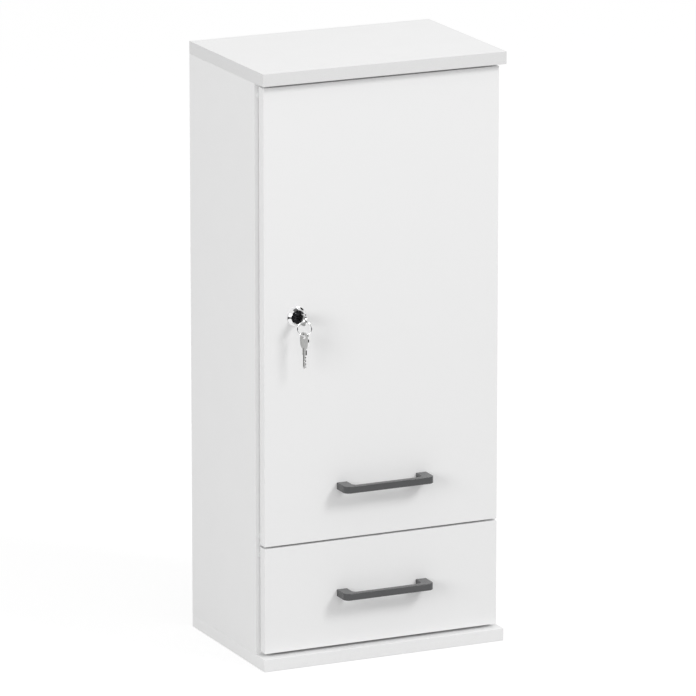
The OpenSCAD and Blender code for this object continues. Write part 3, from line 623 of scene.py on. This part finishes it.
@dataclass(frozen=True)
class Board:
    """A resin-faced board with edge bands all round and raw core in its holes and grooves."""

    node: str
    band: Look = Look.BAND
    edge_radius: float = 0.5 * MM
    segments: int = 3

    def face_kind(self, face: bmesh.types.BMFace, low: Vector, high: Vector, thin: int) -> int:
        """Tells the laminate from the band and the core.

        Args:
            face: A face of the board.
            low: Lowest corner of the board.
            high: Highest corner of the board.
            thin: Number of the axis across the board.

        Returns:
            0 on the laminate, 1 on a band or a rounded edge, 2 on the core.
        """
        middle = face.calc_center_median()
        depths = [min(middle[i] - low[i], high[i] - middle[i]) for i in range(3)]
        near = [i for i in range(3) if depths[i] < self.edge_radius * 1.1]
        facing = max(range(3), key=lambda i: abs(face.normal[i]))
        straight = abs(face.normal[facing]) > STRAIGHT
        if straight and depths[facing] < TOUCH:
            return 0 if facing == thin else 1
        return 1 if len(near) > 1 and not straight else 2

    def build(self) -> None:
        """Builds the board over its CAD node."""
        low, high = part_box(self.node)
        shape = cad_copy(self.node)
        outer = []
        for edge in shape.edges:
            ends = [vert.co for vert in edge.verts]
            planes = sum(
                all(abs(end[i] - side[i]) < TOUCH for end in ends) for i in range(3) for side in (low, high)
            )
            if planes >= 2 and len(edge.link_faces) == 2 and edge.calc_face_angle(0) > ROUNDED:
                outer.append(edge)
        soften(shape, self.edge_radius, self.segments, outer)
        size = high - low
        thin = min(range(3), key=lambda i: size[i])
        for face in shape.faces:
            face.material_index = self.face_kind(face, low, high, thin)
        piece(f"{self.node}_board", shape, [Look.LAMINATE, self.band, Look.CORE], self.node)


@dataclass(frozen=True)
class Carcass:
    """The fixed boards, the back, the shelves and what joins them."""

    boards: tuple[str, ...] = (
        "bottom_panel", "left_side_panel", "right_side_panel", "divider_panel",
        "upper_shelf", "lower_shelf", "wall_rail",
    )
    sheet_edge: float = 0.3 * MM
    cam_edge: float = 0.15 * MM
    pin_edge: float = 0.2 * MM
    pin_head: float = 8 * MM
    pin_head_r: float = 3.5 * MM
    pin_r: float = 2.45 * MM
    bumper_wall: float = 0.35

    def build(self) -> None:
        """Builds the carcass."""
        # The top board's edge bands are painted darker, as shade for the lesser light on its edges.
        Board("top_panel", Look.TOP_BAND).build()
        for node in self.boards:
            Board(node).build()
        softened_node("back_panel", Look.SHEET, self.sheet_edge)
        dress(Look.BEECH, "carcass_dowels")
        dress(Look.ZINC, "connector_bolts")
        softened_node("connector_cams", Look.CAST, self.cam_edge)
        self.shelf_pins()
        self.bumpers()

    def shelf_pins(self) -> None:
        """Builds the turned pins under the shelves."""
        shapes = []
        for low, high in solids("shelf_pins"):
            side = 1 if low.x > 0 else -1
            inner = low.x if side > 0 else high.x
            length = high.x - low.x
            head, head_r, pin_r = self.pin_head, self.pin_head_r, self.pin_r
            profile = [
                (0, 0), (head_r - 0.9 * MM, 0), (head_r, 0.7 * MM), (head_r, head - 1.5 * MM), (head_r, head),
                (pin_r, head), (pin_r, length - 0.8 * MM), (pin_r - 0.65 * MM, length), (0, length),
            ]
            centre = (low + high) / 2
            shapes.append(moved(turned(profile, 32), aimed((inner, centre.y, centre.z), (side, 0, 0))))
        shape = soften(joined(shapes), self.pin_edge)
        piece("shelf_pins_turned", shape, [Look.ZINC], "shelf_pins")

    def bumpers(self) -> None:
        """Builds the domed bumpers on the side boards' edges."""
        shapes = []
        for low, high in solids("bumpers"):
            radius, height = (high.x - low.x) / 2, high.y - low.y
            profile = [(0, 0), (radius, 0)]
            for step in range(6):
                angle = step * math.pi / 12
                rise = self.bumper_wall + (1 - self.bumper_wall) * math.sin(angle)
                profile.append((radius * math.cos(angle), height * rise))
            profile.append((0, height))
            centre = (low + high) / 2
            shapes.append(moved(turned(profile, 32), aimed((centre.x, high.y, centre.z), (0, -1, 0))))
        piece("bumpers_domed", joined(shapes), [Look.SOFT_CLEAR], "bumpers")


# --- Fasteners -----------------------------------------------------------------------------


class Head(Enum):
    """Forms of a screw's head."""

    FLAT = "countersunk, flush at its top"
    PAN = "raised, with its seat below"


@dataclass(frozen=True)
class Screws:
    """The screws of one CAD node, all alike, in zinc-plated steel.

    They point inward, or else along X: away from the middle plane, or towards it where sideways is
    -1. Each one's cross is turned further than the last one's. It reaches over a share of the head's
    radius, and narrows to its depth.
    """

    node: str
    head: Head
    head_r: float
    head_h: float
    shank_r: float
    inward: Corner | None = None
    sideways: int = 1
    pitch: float = 0.9 * MM
    root: float = 0.82
    first_roll: float = 0.3
    roll_step: float = 0.7
    cross_share: float = 0.56
    cross_half: float = 0.42 * MM
    cross_taper: Corner = (0.45, 0.7, 1)

    def with_cross(self, shape: BMesh) -> BMesh:
        """Cuts the tapered cross that a screwdriver fits.

        Args:
            shape: A screw whose head's top is at Z 0, which is freed.

        Returns:
            The screw with its cross.
        """
        reach = self.head_r * self.cross_share
        for angle in (0.0, math.pi / 2):
            arm = block((-reach, -self.cross_half, -MM), (reach, self.cross_half, self.depth))
            deep = [vert for vert in arm.verts if vert.co.z > 0]
            bmesh.ops.scale(arm, vec=self.cross_taper, verts=deep)
            shape = cut_away(shape, moved(arm, Matrix.Rotation(angle, 4, "Z")))
        return shape

    @property
    def depth(self) -> float:
        """Depth of the cross."""
        return max(0.9 * MM, self.head_h * 0.6)

    def one(self, length: float) -> BMesh:
        """Makes one screw from its head's top at Z 0 down along +Z.

        Args:
            length: Overall length.

        Returns:
            The screw.
        """
        r, s, h = self.head_r, self.shank_r, self.head_h
        if self.head is Head.FLAT:
            profile = [(0, 0), (r - 0.12 * MM, 0), (r, 0.12 * MM), (s, r - s)]
        else:
            profile = [(0, 0), (r * 0.62, 0), (r * 0.86, h * 0.16), (r * 0.97, h * 0.45)]
            profile += [(r, h * 0.8), (r, h), (s, h)]
        start = profile[-1][1] + 2 * self.pitch
        profile.append((s, start))
        for turn in range(int((length - start - s) / self.pitch)):
            z = start + turn * self.pitch
            profile += [(s * self.root, z + self.pitch * 0.45), (s, z + self.pitch * 0.9)]
        profile += [(s * 0.8, length - s * 0.6), (0, length)]
        return self.with_cross(turned(profile, 28))

    def build(self) -> None:
        """Builds the screws over their CAD node."""
        shapes = []
        pattern: BMesh | None = None
        for low, high in solids(self.node):
            top = (low + high) / 2
            way = Vector(self.inward or (math.copysign(1, top.x) * self.sideways, 0, 0))
            axis = max(range(3), key=lambda i: abs(way[i]))
            top[axis] = low[axis] if way[axis] > 0 else high[axis]
            pattern = pattern or self.one(high[axis] - low[axis])
            roll = self.first_roll + self.roll_step * len(shapes)
            shapes.append(moved(pattern.copy(), aimed(top, way, roll)))
        pattern.free()
        piece(f"{self.node}_cut", joined(shapes), [Look.ZINC], self.node)


# --- Handles -------------------------------------------------------------------------------


@dataclass(frozen=True)
class BowHandle:
    """A cast bow handle in powder coat, with its two screws."""

    node: str
    bar: float = 8 * MM
    leg: float = 16 * MM
    corner: float = 8.5 * MM
    fillet: float = 6.5 * MM
    edge: float = 0.8 * MM
    segments: int = 4

    def build(self) -> None:
        """Builds the handle: its bow is drawn from above and raised, and its edges are rounded."""
        low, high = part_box(self.node)
        half, gap = high.x, high.x - self.leg
        back, front, inner = high.y, low.y, low.y + self.bar
        corners = [
            (-half, back, 0), (-gap, back, 0), (-gap, inner, self.fillet), (gap, inner, self.fillet),
            (gap, back, 0), (half, back, 0), (half, front, self.corner), (-half, front, self.corner),
        ]
        shape = moved(plate(corners, high.z - low.z), Matrix.Translation((0, 0, low.z)))
        foot = back - TOUCH
        rims = [
            edge for edge in shape.edges
            if edge.calc_face_angle(0) > ROUNDED and not all(vert.co.y > foot for vert in edge.verts)
        ]
        soften(shape, self.edge, self.segments, rims)
        piece(f"{self.node}_bow", shape, [Look.GRAPHITE], self.node)
        Screws(f"{self.node}_screws", Head.PAN, 3.9 * MM, 2.4 * MM, 1.95 * MM, (0, -1, 0)).build()


# --- Lock ----------------------------------------------------------------------------------


@dataclass(frozen=True)
class CamLock:
    """The lock in the door: collar and threaded body, nut, plug, cam and keeper."""

    collar_r: float = 14 * MM
    rim_r: float = 9.9 * MM
    dish_r: float = 9.2 * MM
    dish: float = 2.5 * MM
    body_r: float = 9 * MM
    plug_r: float = 7 * MM
    flange: float = 1.2 * MM
    play: float = 0.08 * MM
    pitch: float = 1.0 * MM
    thread: float = 0.45 * MM
    thread_start: float = 15 * MM
    step: float = 0.25 * MM
    step_r: float = 6.3 * MM
    tail: float = 7 * MM
    cam: float = 2.5 * MM
    keyway_half: Point = (1.15 * MM, 3.65 * MM)
    keyway_depth: float = 24 * MM
    bore_r: float = 2.5 * MM
    bore_depth: float = 5.9 * MM

    def build(self) -> None:
        """Builds the lock."""
        self.housing()
        self.plug()
        for node, edge in (("lock_nut", 0.4 * MM), ("lock_cam", 0.3 * MM), ("lock_keeper", 0.3 * MM)):
            softened_node(node, Look.ZINC, edge)
        Screws("cam_screw", Head.PAN, 4.2 * MM, 2.2 * MM, 2.45 * MM, (0, -1, 0)).build()
        Screws("keeper_screws", Head.PAN, 3 * MM, 1.8 * MM, 1.6 * MM, (-1, 0, 0)).build()

    def housing(self) -> None:
        """Builds the bright collar and the threaded body behind it."""
        low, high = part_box("lock_housing")
        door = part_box("door_panel")[0].y
        seat, length = door - low.y, high.y - low.y
        rim, collar = self.rim_r, self.collar_r
        profile = [
            (self.dish_r, self.dish), (self.dish_r, 0), (rim, 0), (rim + 0.35 * MM, 0.3 * MM),
            (rim + 1.1 * MM, 1.35 * MM), (rim + 2.2 * MM, 2.75 * MM), (collar - 0.1 * MM, seat - 0.9 * MM),
            (collar, seat - 0.5 * MM), (collar, seat), (self.body_r, seat),
        ]
        z = seat + self.thread_start
        while z < length - self.pitch:
            profile += [(self.body_r, z), (self.body_r - self.thread, z + self.pitch / 2)]
            z += self.pitch
        profile += [
            (self.body_r - 0.4 * MM, length), (self.plug_r + self.play, length),
            (self.plug_r + self.play, self.dish),
        ]
        shape = turned(profile, 96, closed=True)
        centre = (low + high) / 2
        moved(shape, aimed((centre.x, low.y, centre.z), (0, 1, 0)))
        piece("lock_housing_turned", shape, [Look.CHROME], "lock_housing")

    def plug(self) -> None:
        """Builds the black plug with its keyway, its stepped face and its square tail."""
        low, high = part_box("lock_plug")
        centre = (low + high) / 2
        half, end = self.tail / 2, high.y - low.y
        length = end - self.cam
        face_r = self.dish_r - 0.15 * MM
        profile = [
            (0, self.step), (self.step_r - 0.1 * MM, self.step), (self.step_r, 0), (face_r - self.step, 0),
            (face_r, self.step), (face_r, self.flange), (self.plug_r, self.flange),
            (self.plug_r, length - 0.3 * MM), (self.plug_r - 0.3 * MM, length), (0, length),
        ]
        barrel = turned(profile, 72)
        square = block((-half, -half, length - 0.5 * MM), (half, half, end))
        x, y = self.keyway_half
        body = cut_away(barrel, block((-x, -y, -MM), (x, y, self.keyway_depth)))
        start = end - self.bore_depth
        bore = [(0, start), (self.bore_r, start), (self.bore_r, end + MM), (0, end + MM)]
        parts = [cut_away(part, turned(bore, 28)) for part in (body, soften(square, 0.25 * MM))]
        whole = moved(joined(parts), aimed((centre.x, low.y, centre.z), (0, 1, 0)))
        piece("lock_plug_black", whole, [Look.PLUG], "lock_plug")


# --- Keys ----------------------------------------------------------------------------------


@dataclass(frozen=True)
class KeySet:
    """The key in the lock, the split ring and the spare key on it.

    Half the oval bow is drawn by points of X and Y and how far from each its rounding starts. Faces
    whose normal has more than flat_side across the key belong to its flat sides.
    """

    length: float = 52 * MM
    thick: float = 2 * MM
    bow: tuple[Corner, ...] = (
        (6.6 * MM, 0, 5.8 * MM), (8.35 * MM, -12.5 * MM, 4.5 * MM), (6.6 * MM, -20.5 * MM, 1.8 * MM),
    )
    bow_len: float = 24 * MM
    shank: float = 3.5 * MM
    shank_len: float = 8.4 * MM
    blade: float = 2.3 * MM
    hole_r: float = 3 * MM
    rim: float = 3.5 * MM
    edge: float = 0.22 * MM
    groove: Point = (-1.3 * MM, 0.1 * MM)
    groove_floor: float = 0.5 * MM
    flat_side: float = 0.8
    teeth: int = 6
    cuts: Point = (1.2 * MM, 0.7 * MM)
    ring_turn: float = math.radians(25)
    spare_turn: float = math.radians(45)
    wire: float = 0.8 * MM
    wire_width: float = 0.76 * MM
    ring_steps: int = 72
    ring_turns: float = 1.96
    ring_start: float = 2.2

    def key(self) -> BMesh:
        """Makes a key about its middle plane, with its bow's end at the origin and its tip at -Y.

        Returns:
            The key, with material 0 on its flat sides and 1 round its edges, where brighter chrome is a painted
            highlight.
        """
        b, s = self.blade, self.shank
        root = -self.bow_len - self.shank_len
        corners = [(-x, y, reach) for x, y, reach in self.bow] + [
            (-s, -self.bow_len, 1.2 * MM), (-s, root, 0.5 * MM), (-b, root, 0),
            (-b, b - self.length, 0.4 * MM), (0, -self.length, 0.3 * MM), (b, b - self.length, 0.4 * MM),
        ]
        step = (root + self.length - 2 * b) / self.teeth
        for tooth in range(self.teeth, 0, -1):
            y = root - tooth * step
            deep = self.cuts[tooth % 2]
            corners += [(b, y - step * 0.45, 0), (b - deep, y, 0.25 * MM), (b, y + step * 0.45, 0)]
        corners += [(b, root, 0), (s, root, 0.5 * MM), (s, -self.bow_len, 1.2 * MM), *reversed(self.bow)]
        shape = moved(plate(corners, self.thick), Matrix.Translation((0, 0, -self.thick / 2)))
        hole = turned([(0, -2 * MM), (self.hole_r, -2 * MM), (self.hole_r, 2 * MM), (0, 2 * MM)], 40)
        moved(hole, Matrix.Translation((0, -self.rim - self.hole_r, 0)))
        shape = cut_away(shape, hole)
        for side in (-1, 1):
            tip, top = 3 * MM - self.length, 1.5 * MM - self.bow_len
            groove = block((self.groove[0], tip, self.groove_floor), (self.groove[1], top, self.thick))
            if side < 0:
                moved(groove, Matrix.Rotation(math.pi, 4, "Y"))
            shape = cut_away(shape, groove)
        soften(shape, self.edge)
        shape.normal_update()
        # Flat sides get key steel and the rounded edges brighter chrome: a painted highlight on what is one steel
        # key.
        for face in shape.faces:
            face.material_index = int(abs(face.normal.z) < self.flat_side)
        return shape

    def ring(self) -> BMesh:
        """Makes a split ring of oval wire, wound nearly twice round Z.

        Returns:
            The ring about its middle plane.
        """
        low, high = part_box("key_ring")
        radius = (high.z - low.z) / 2 - self.wire
        oval = Matrix.Diagonal((self.wire_width, self.wire / 2 - 0.02 * MM, 1, 1))
        place = Matrix.Translation((radius, 0, 0)) @ Matrix.Rotation(math.pi / 2, 4, "X") @ oval
        shape = bmesh.new()
        bmesh.ops.create_circle(shape, cap_ends=True, segments=14, radius=1, matrix=place)
        bmesh.ops.spin(
            shape, geom=shape.faces[:], axis=(0, 0, 1), dvec=(0, 0, self.wire / self.ring_steps),
            angle=TURN * self.ring_turns, steps=int(self.ring_steps * self.ring_turns),
        )
        return moved(tidied(shape), Matrix.Translation((0, 0, -self.wire / 2)))

    def build(self) -> None:
        """Builds both keys and the ring where the CAD has them."""
        low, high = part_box("lock_key")
        centre = (low + high) / 2
        upright = Matrix.Rotation(math.pi, 4, "X") @ Matrix.Rotation(math.pi / 2, 4, "Y")
        shape = moved(self.key(), Matrix.Translation((centre.x, low.y, centre.z)) @ upright)
        # Chrome on the key's edges is a painted highlight over the key steel of its flat sides.
        piece("lock_key_cut", shape, [Look.KEY_STEEL, Look.CHROME], "lock_key")

        low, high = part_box("key_ring")
        centre = (low + high) / 2
        stand = Matrix.Rotation(math.pi / 2, 4, "X")
        facing = Matrix.Rotation(-self.ring_turn, 4, "Z") @ stand @ Matrix.Rotation(self.ring_start, 4, "Z")
        shape = moved(self.ring(), Matrix.Translation(centre) @ facing)
        piece("key_ring_split", shape, [Look.CHROME], "key_ring")

        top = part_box("spare_key")[1].z
        hang = Matrix.Rotation(-self.spare_turn - self.ring_turn, 4, "Z") @ stand
        shape = moved(self.key(), Matrix.Translation((centre.x, centre.y, top)) @ hang)
        # The spare key's edges carry the same painted highlight in chrome.
        piece("spare_key_cut", shape, [Look.KEY_STEEL, Look.CHROME], "spare_key")


# --- Door ----------------------------------------------------------------------------------


@dataclass(frozen=True)
class Hinges:
    """Two knuckle hinges of nickel-plated steel."""

    edge: float = 0.15 * MM
    cap: float = 1 * MM
    pin_share: float = 1.2 / 2.21

    def build(self) -> None:
        """Builds leaves, pins and screws."""
        softened_node("hinge_side_leaves", Look.NICKEL, self.edge)
        softened_node("hinge_door_leaves", Look.NICKEL, self.edge)
        shapes = []
        for low, high in solids("hinge_pins"):
            radius, length = (high.x - low.x) / 2, high.z - low.z
            pin = radius * self.pin_share
            end = [(0, 0), (radius * 0.7, 0.15 * MM), (radius, 0.6 * MM), (radius, self.cap), (pin, self.cap)]
            profile = end + [(r, length - z) for r, z in reversed(end)]
            centre = (low + high) / 2
            shapes.append(moved(turned(profile, 32), Matrix.Translation((centre.x, centre.y, low.z))))
        piece("hinge_pins_turned", joined(shapes), [Look.NICKEL], "hinge_pins")
        for node, inward in (("hinge_side_screws", (0, 1, 0)), ("hinge_door_screws", (0, -1, 0))):
            Screws(node, Head.FLAT, 2.6 * MM, 1.3 * MM, 1.3 * MM, inward).build()


@dataclass(frozen=True)
class Door:
    """The door with its handle."""

    def build(self) -> None:
        """Builds the door."""
        Board("door_panel").build()
        BowHandle("door_handle").build()


# --- Drawer --------------------------------------------------------------------------------


@dataclass(frozen=True)
class Runners:
    """The roller runners on both sides of the drawer."""

    bend: float = 0.3 * MM
    axle_edge: float = 0.12 * MM
    axle_r: float = 2 * MM
    fit: float = 0.05 * MM
    wall: float = 2 * MM
    dish: float = 1.2 * MM
    edge: float = 0.5 * MM

    def build(self) -> None:
        """Builds rails, rollers, axles and screws."""
        for node in ("left_rail", "right_rail", "left_drawer_rail", "right_drawer_rail"):
            softened_node(node, Look.ENAMEL, self.bend)
        self.rollers("front_rollers")
        self.rollers("rear_rollers")
        softened_node("front_axles", Look.ZINC, self.axle_edge)
        softened_node("rear_axles", Look.ZINC, self.axle_edge)
        for node, sideways in (("rail_screws", 1), ("drawer_rail_screws", -1)):
            Screws(node, Head.FLAT, 3 * MM, 1.4 * MM, 1.6 * MM, sideways=sideways).build()

    def rollers(self, node: str) -> None:
        """Builds a pair of moulded rollers.

        Args:
            node: CAD node of the pair.
        """
        shapes = []
        for low, high in solids(node):
            radius, width = (high.y - low.y) / 2, high.x - low.x
            hub, rim, bore = self.axle_r + self.wall, radius - self.wall, self.axle_r + self.fit
            half = [
                (bore, 0), (hub, 0), (hub, self.dish), (rim, self.dish), (rim, 0), (radius - self.edge, 0),
                (radius, self.edge),
            ]
            profile = half + [(r, width - x) for r, x in reversed(half)]
            ring = soften(turned(profile, 48, closed=True), 0.15 * MM)
            centre = (low + high) / 2
            shapes.append(moved(ring, aimed((low.x, centre.y, centre.z), (1, 0, 0))))
        piece(f"{node}_moulded", joined(shapes), [Look.NYLON], node)


@dataclass(frozen=True)
class Drawer:
    """The drawer with its front and handle."""

    boards: tuple[str, ...] = ("drawer_front", "drawer_left_side", "drawer_right_side", "drawer_back")
    sheet_edge: float = 0.3 * MM

    def build(self) -> None:
        """Builds the drawer."""
        for node in self.boards:
            Board(node).build()
        softened_node("drawer_bottom", Look.SHEET, self.sheet_edge)
        dress(Look.BEECH, "drawer_dowels")
        BowHandle("drawer_handle").build()


# --- Studio --------------------------------------------------------------------------------


@dataclass(frozen=True)
class Lamp:
    """A large soft round lamp, with its diameter and its power in watts."""

    name: str
    place: Corner
    size: float
    power: float

    def build(self, aim: Corner) -> None:
        """Hangs the lamp.

        Args:
            aim: The point that it looks at.
        """
        data = bpy.data.lights.new(self.name, "AREA")
        data.shape = "DISK"
        data.size = self.size
        data.energy = self.power
        item = placed(self.name, data)
        item.location = self.place
        item.rotation_mode = "QUATERNION"
        item.rotation_quaternion = (Vector(aim) - Vector(self.place)).to_track_quat("-Z", "Y")


@dataclass(frozen=True)
class Card:
    """A dark card that only shows in bright metal, from its lowest to its highest corner."""

    name: str
    low: Corner
    high: Corner
    tone: float

    def shape(self) -> BMesh:
        """The card's shape, in place."""
        return block(self.low, self.high)

    def build(self) -> None:
        """Sets up the card."""
        mesh = as_mesh(self.name, self.shape())
        item = placed(self.name, mesh)
        graph = NodeGraph(self.name)
        graph.use(Base_Color=(*grey(self.tone), 1), Roughness=1.0, Specular_IOR_Level=0.0)
        mesh.materials.append(graph.material)
        for kind in ("camera", "diffuse", "transmission", "volume_scatter", "shadow"):
            setattr(item, f"visible_{kind}", False)


@dataclass(frozen=True)
class BentCard(Card):
    """A low dark wall that bends round the front of the cabinet, like a dark horizon."""

    radius: float = 1.35
    start: float = math.radians(190)
    sweep: float = math.radians(165)

    def shape(self) -> BMesh:
        """The wall's shape, in place, between the heights of its corners.

        Returns:
            The wall.
        """
        shape = bmesh.new()
        x, y = self.radius * math.cos(self.start), self.radius * math.sin(self.start)
        ends = [shape.verts.new((x, y, z)) for z in (self.low[2], self.high[2])]
        edge = shape.edges.new(ends)
        bmesh.ops.spin(shape, geom=[*ends, edge], axis=(0, 0, 1), angle=self.sweep, steps=48)
        return shape


@dataclass(frozen=True)
class Studio:
    """Floor, light and camera."""

    camera_place: Corner = (-3.9216, -8.445, 2.7774)
    camera_azimuth: float = math.radians(24.914)
    camera_drop: float = math.radians(14.222)
    lens: float = 353.93
    sensor: float = 36.0
    aim: Corner = (0, 0, 0.4)
    lamps: tuple[Lamp, ...] = (
        Lamp("key", (2.75, -3.93, 4.15), 1.7, 120.0),
        Lamp("side", (-4.6, -2.65, 1.8), 2.4, 86.0),
    )
    cards: tuple[Card, ...] = (
        BentCard("flag_low", (0, 0, 0), (0, 0, 0.31), 0.02),
        Card("flag_right", (2.19, -2.0, 1.05), (2.21, 0.4, 2.15), 0.03),
        Card("flag_above", (-1.1, -2.1, 3.19), (1.3, 0.6, 3.21), 0.35),
    )
    fill: float = 0.75
    floor_tone: float = 0.45
    floor_seen_tone: float = 0.36
    floor_glow: float = 0.70
    floor_drop: float = 0.2 * MM
    floor_size: float = 60.0

    def build(self) -> None:
        """Builds the studio."""
        self.camera()
        self.world()
        self.floor()
        for lamp in self.lamps:
            lamp.build(self.aim)
        for card in self.cards:
            card.build()
        bpy.context.scene.view_settings.view_transform = "Standard"

    def camera(self) -> None:
        """Places the camera where the photograph was taken from."""
        data = bpy.data.cameras.new("camera")
        data.sensor_width = self.sensor
        data.lens = self.lens
        item = placed("camera", data)
        azimuth, level = self.camera_azimuth, math.cos(self.camera_drop)
        ahead = Vector((math.sin(azimuth) * level, math.cos(azimuth) * level, -math.sin(self.camera_drop)))
        item.location = self.camera_place
        item.rotation_mode = "QUATERNION"
        item.rotation_quaternion = ahead.to_track_quat("-Z", "Y")
        bpy.context.scene.camera = item

    def world(self) -> None:
        """Surrounds the cabinet with soft white light, which looks plain white itself."""
        world = bpy.data.worlds.new("studio")
        world.use_nodes = True
        bpy.context.scene.world = world
        tree = world.node_tree
        sky = tree.nodes["Background"]
        sky.inputs["Color"].default_value = (1, 1, 1, 1)
        sky.inputs["Strength"].default_value = self.fill
        seen = tree.nodes.new("ShaderNodeBackground")
        seen.inputs["Color"].default_value = (1, 1, 1, 1)
        seen.inputs["Strength"].default_value = 1.0
        mix = tree.nodes.new("ShaderNodeMixShader")
        tree.links.new(self.seen_directly(tree), mix.inputs["Fac"])
        tree.links.new(sky.outputs["Background"], mix.inputs[1])
        tree.links.new(seen.outputs["Background"], mix.inputs[2])
        tree.links.new(mix.outputs["Shader"], tree.nodes["World Output"].inputs["Surface"])

    def seen_directly(self, tree: bpy.types.NodeTree) -> bpy.types.NodeSocket:
        """Tells the rays of the camera, of gloss and of glass from the rest.

        Args:
            tree: The node tree to add to.

        Returns:
            1 for such a ray and 0 for another.
        """
        path = tree.nodes.new("ShaderNodeLightPath")
        total = path.outputs["Is Camera Ray"]
        for kind in ("Is Glossy Ray", "Is Transmission Ray"):
            either = tree.nodes.new("ShaderNodeMath")
            either.operation = "MAXIMUM"
            tree.links.new(total, either.inputs[0])
            tree.links.new(path.outputs[kind], either.inputs[1])
            total = either.outputs["Value"]
        return total

    def floor(self) -> None:
        """Lays a pale floor that looks white and keeps the cabinet's shadow."""
        shape = bmesh.new()
        bmesh.ops.create_grid(shape, x_segments=1, y_segments=1, size=self.floor_size / 2)
        bmesh.ops.translate(shape, verts=shape.verts, vec=(0, 0, -self.floor_drop))
        mesh = as_mesh("floor", shape)
        item = placed("floor", mesh)
        material = bpy.data.materials.new("floor")
        material.use_nodes = True
        tree = material.node_tree
        tree.nodes.remove(tree.nodes["Principled BSDF"])
        plain = tree.nodes.new("ShaderNodeBsdfDiffuse")
        plain.inputs["Color"].default_value = (*grey(self.floor_tone), 1)
        shaded = tree.nodes.new("ShaderNodeBsdfDiffuse")
        shaded.inputs["Color"].default_value = (*grey(self.floor_seen_tone), 1)
        glow = tree.nodes.new("ShaderNodeEmission")
        glow.inputs["Strength"].default_value = self.floor_glow
        seen = tree.nodes.new("ShaderNodeAddShader")
        tree.links.new(shaded.outputs["BSDF"], seen.inputs[0])
        tree.links.new(glow.outputs["Emission"], seen.inputs[1])
        mix = tree.nodes.new("ShaderNodeMixShader")
        tree.links.new(self.seen_directly(tree), mix.inputs["Fac"])
        tree.links.new(plain.outputs["BSDF"], mix.inputs[1])
        tree.links.new(seen.outputs["Shader"], mix.inputs[2])
        tree.links.new(mix.outputs["Shader"], tree.nodes["Material Output"].inputs["Surface"])
        mesh.materials.append(material)


def main() -> None:
    """Builds the studio and every part of the cabinet."""
    logging.basicConfig(level=logging.INFO, format="%(name)s: %(message)s")
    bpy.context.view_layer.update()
    for part in (Studio(), Carcass(), Door(), Hinges(), CamLock(), KeySet(), Drawer(), Runners()):
        part.build()
        LOG.info("built %s", type(part).__name__)


if __name__ == "__main__":
    main()
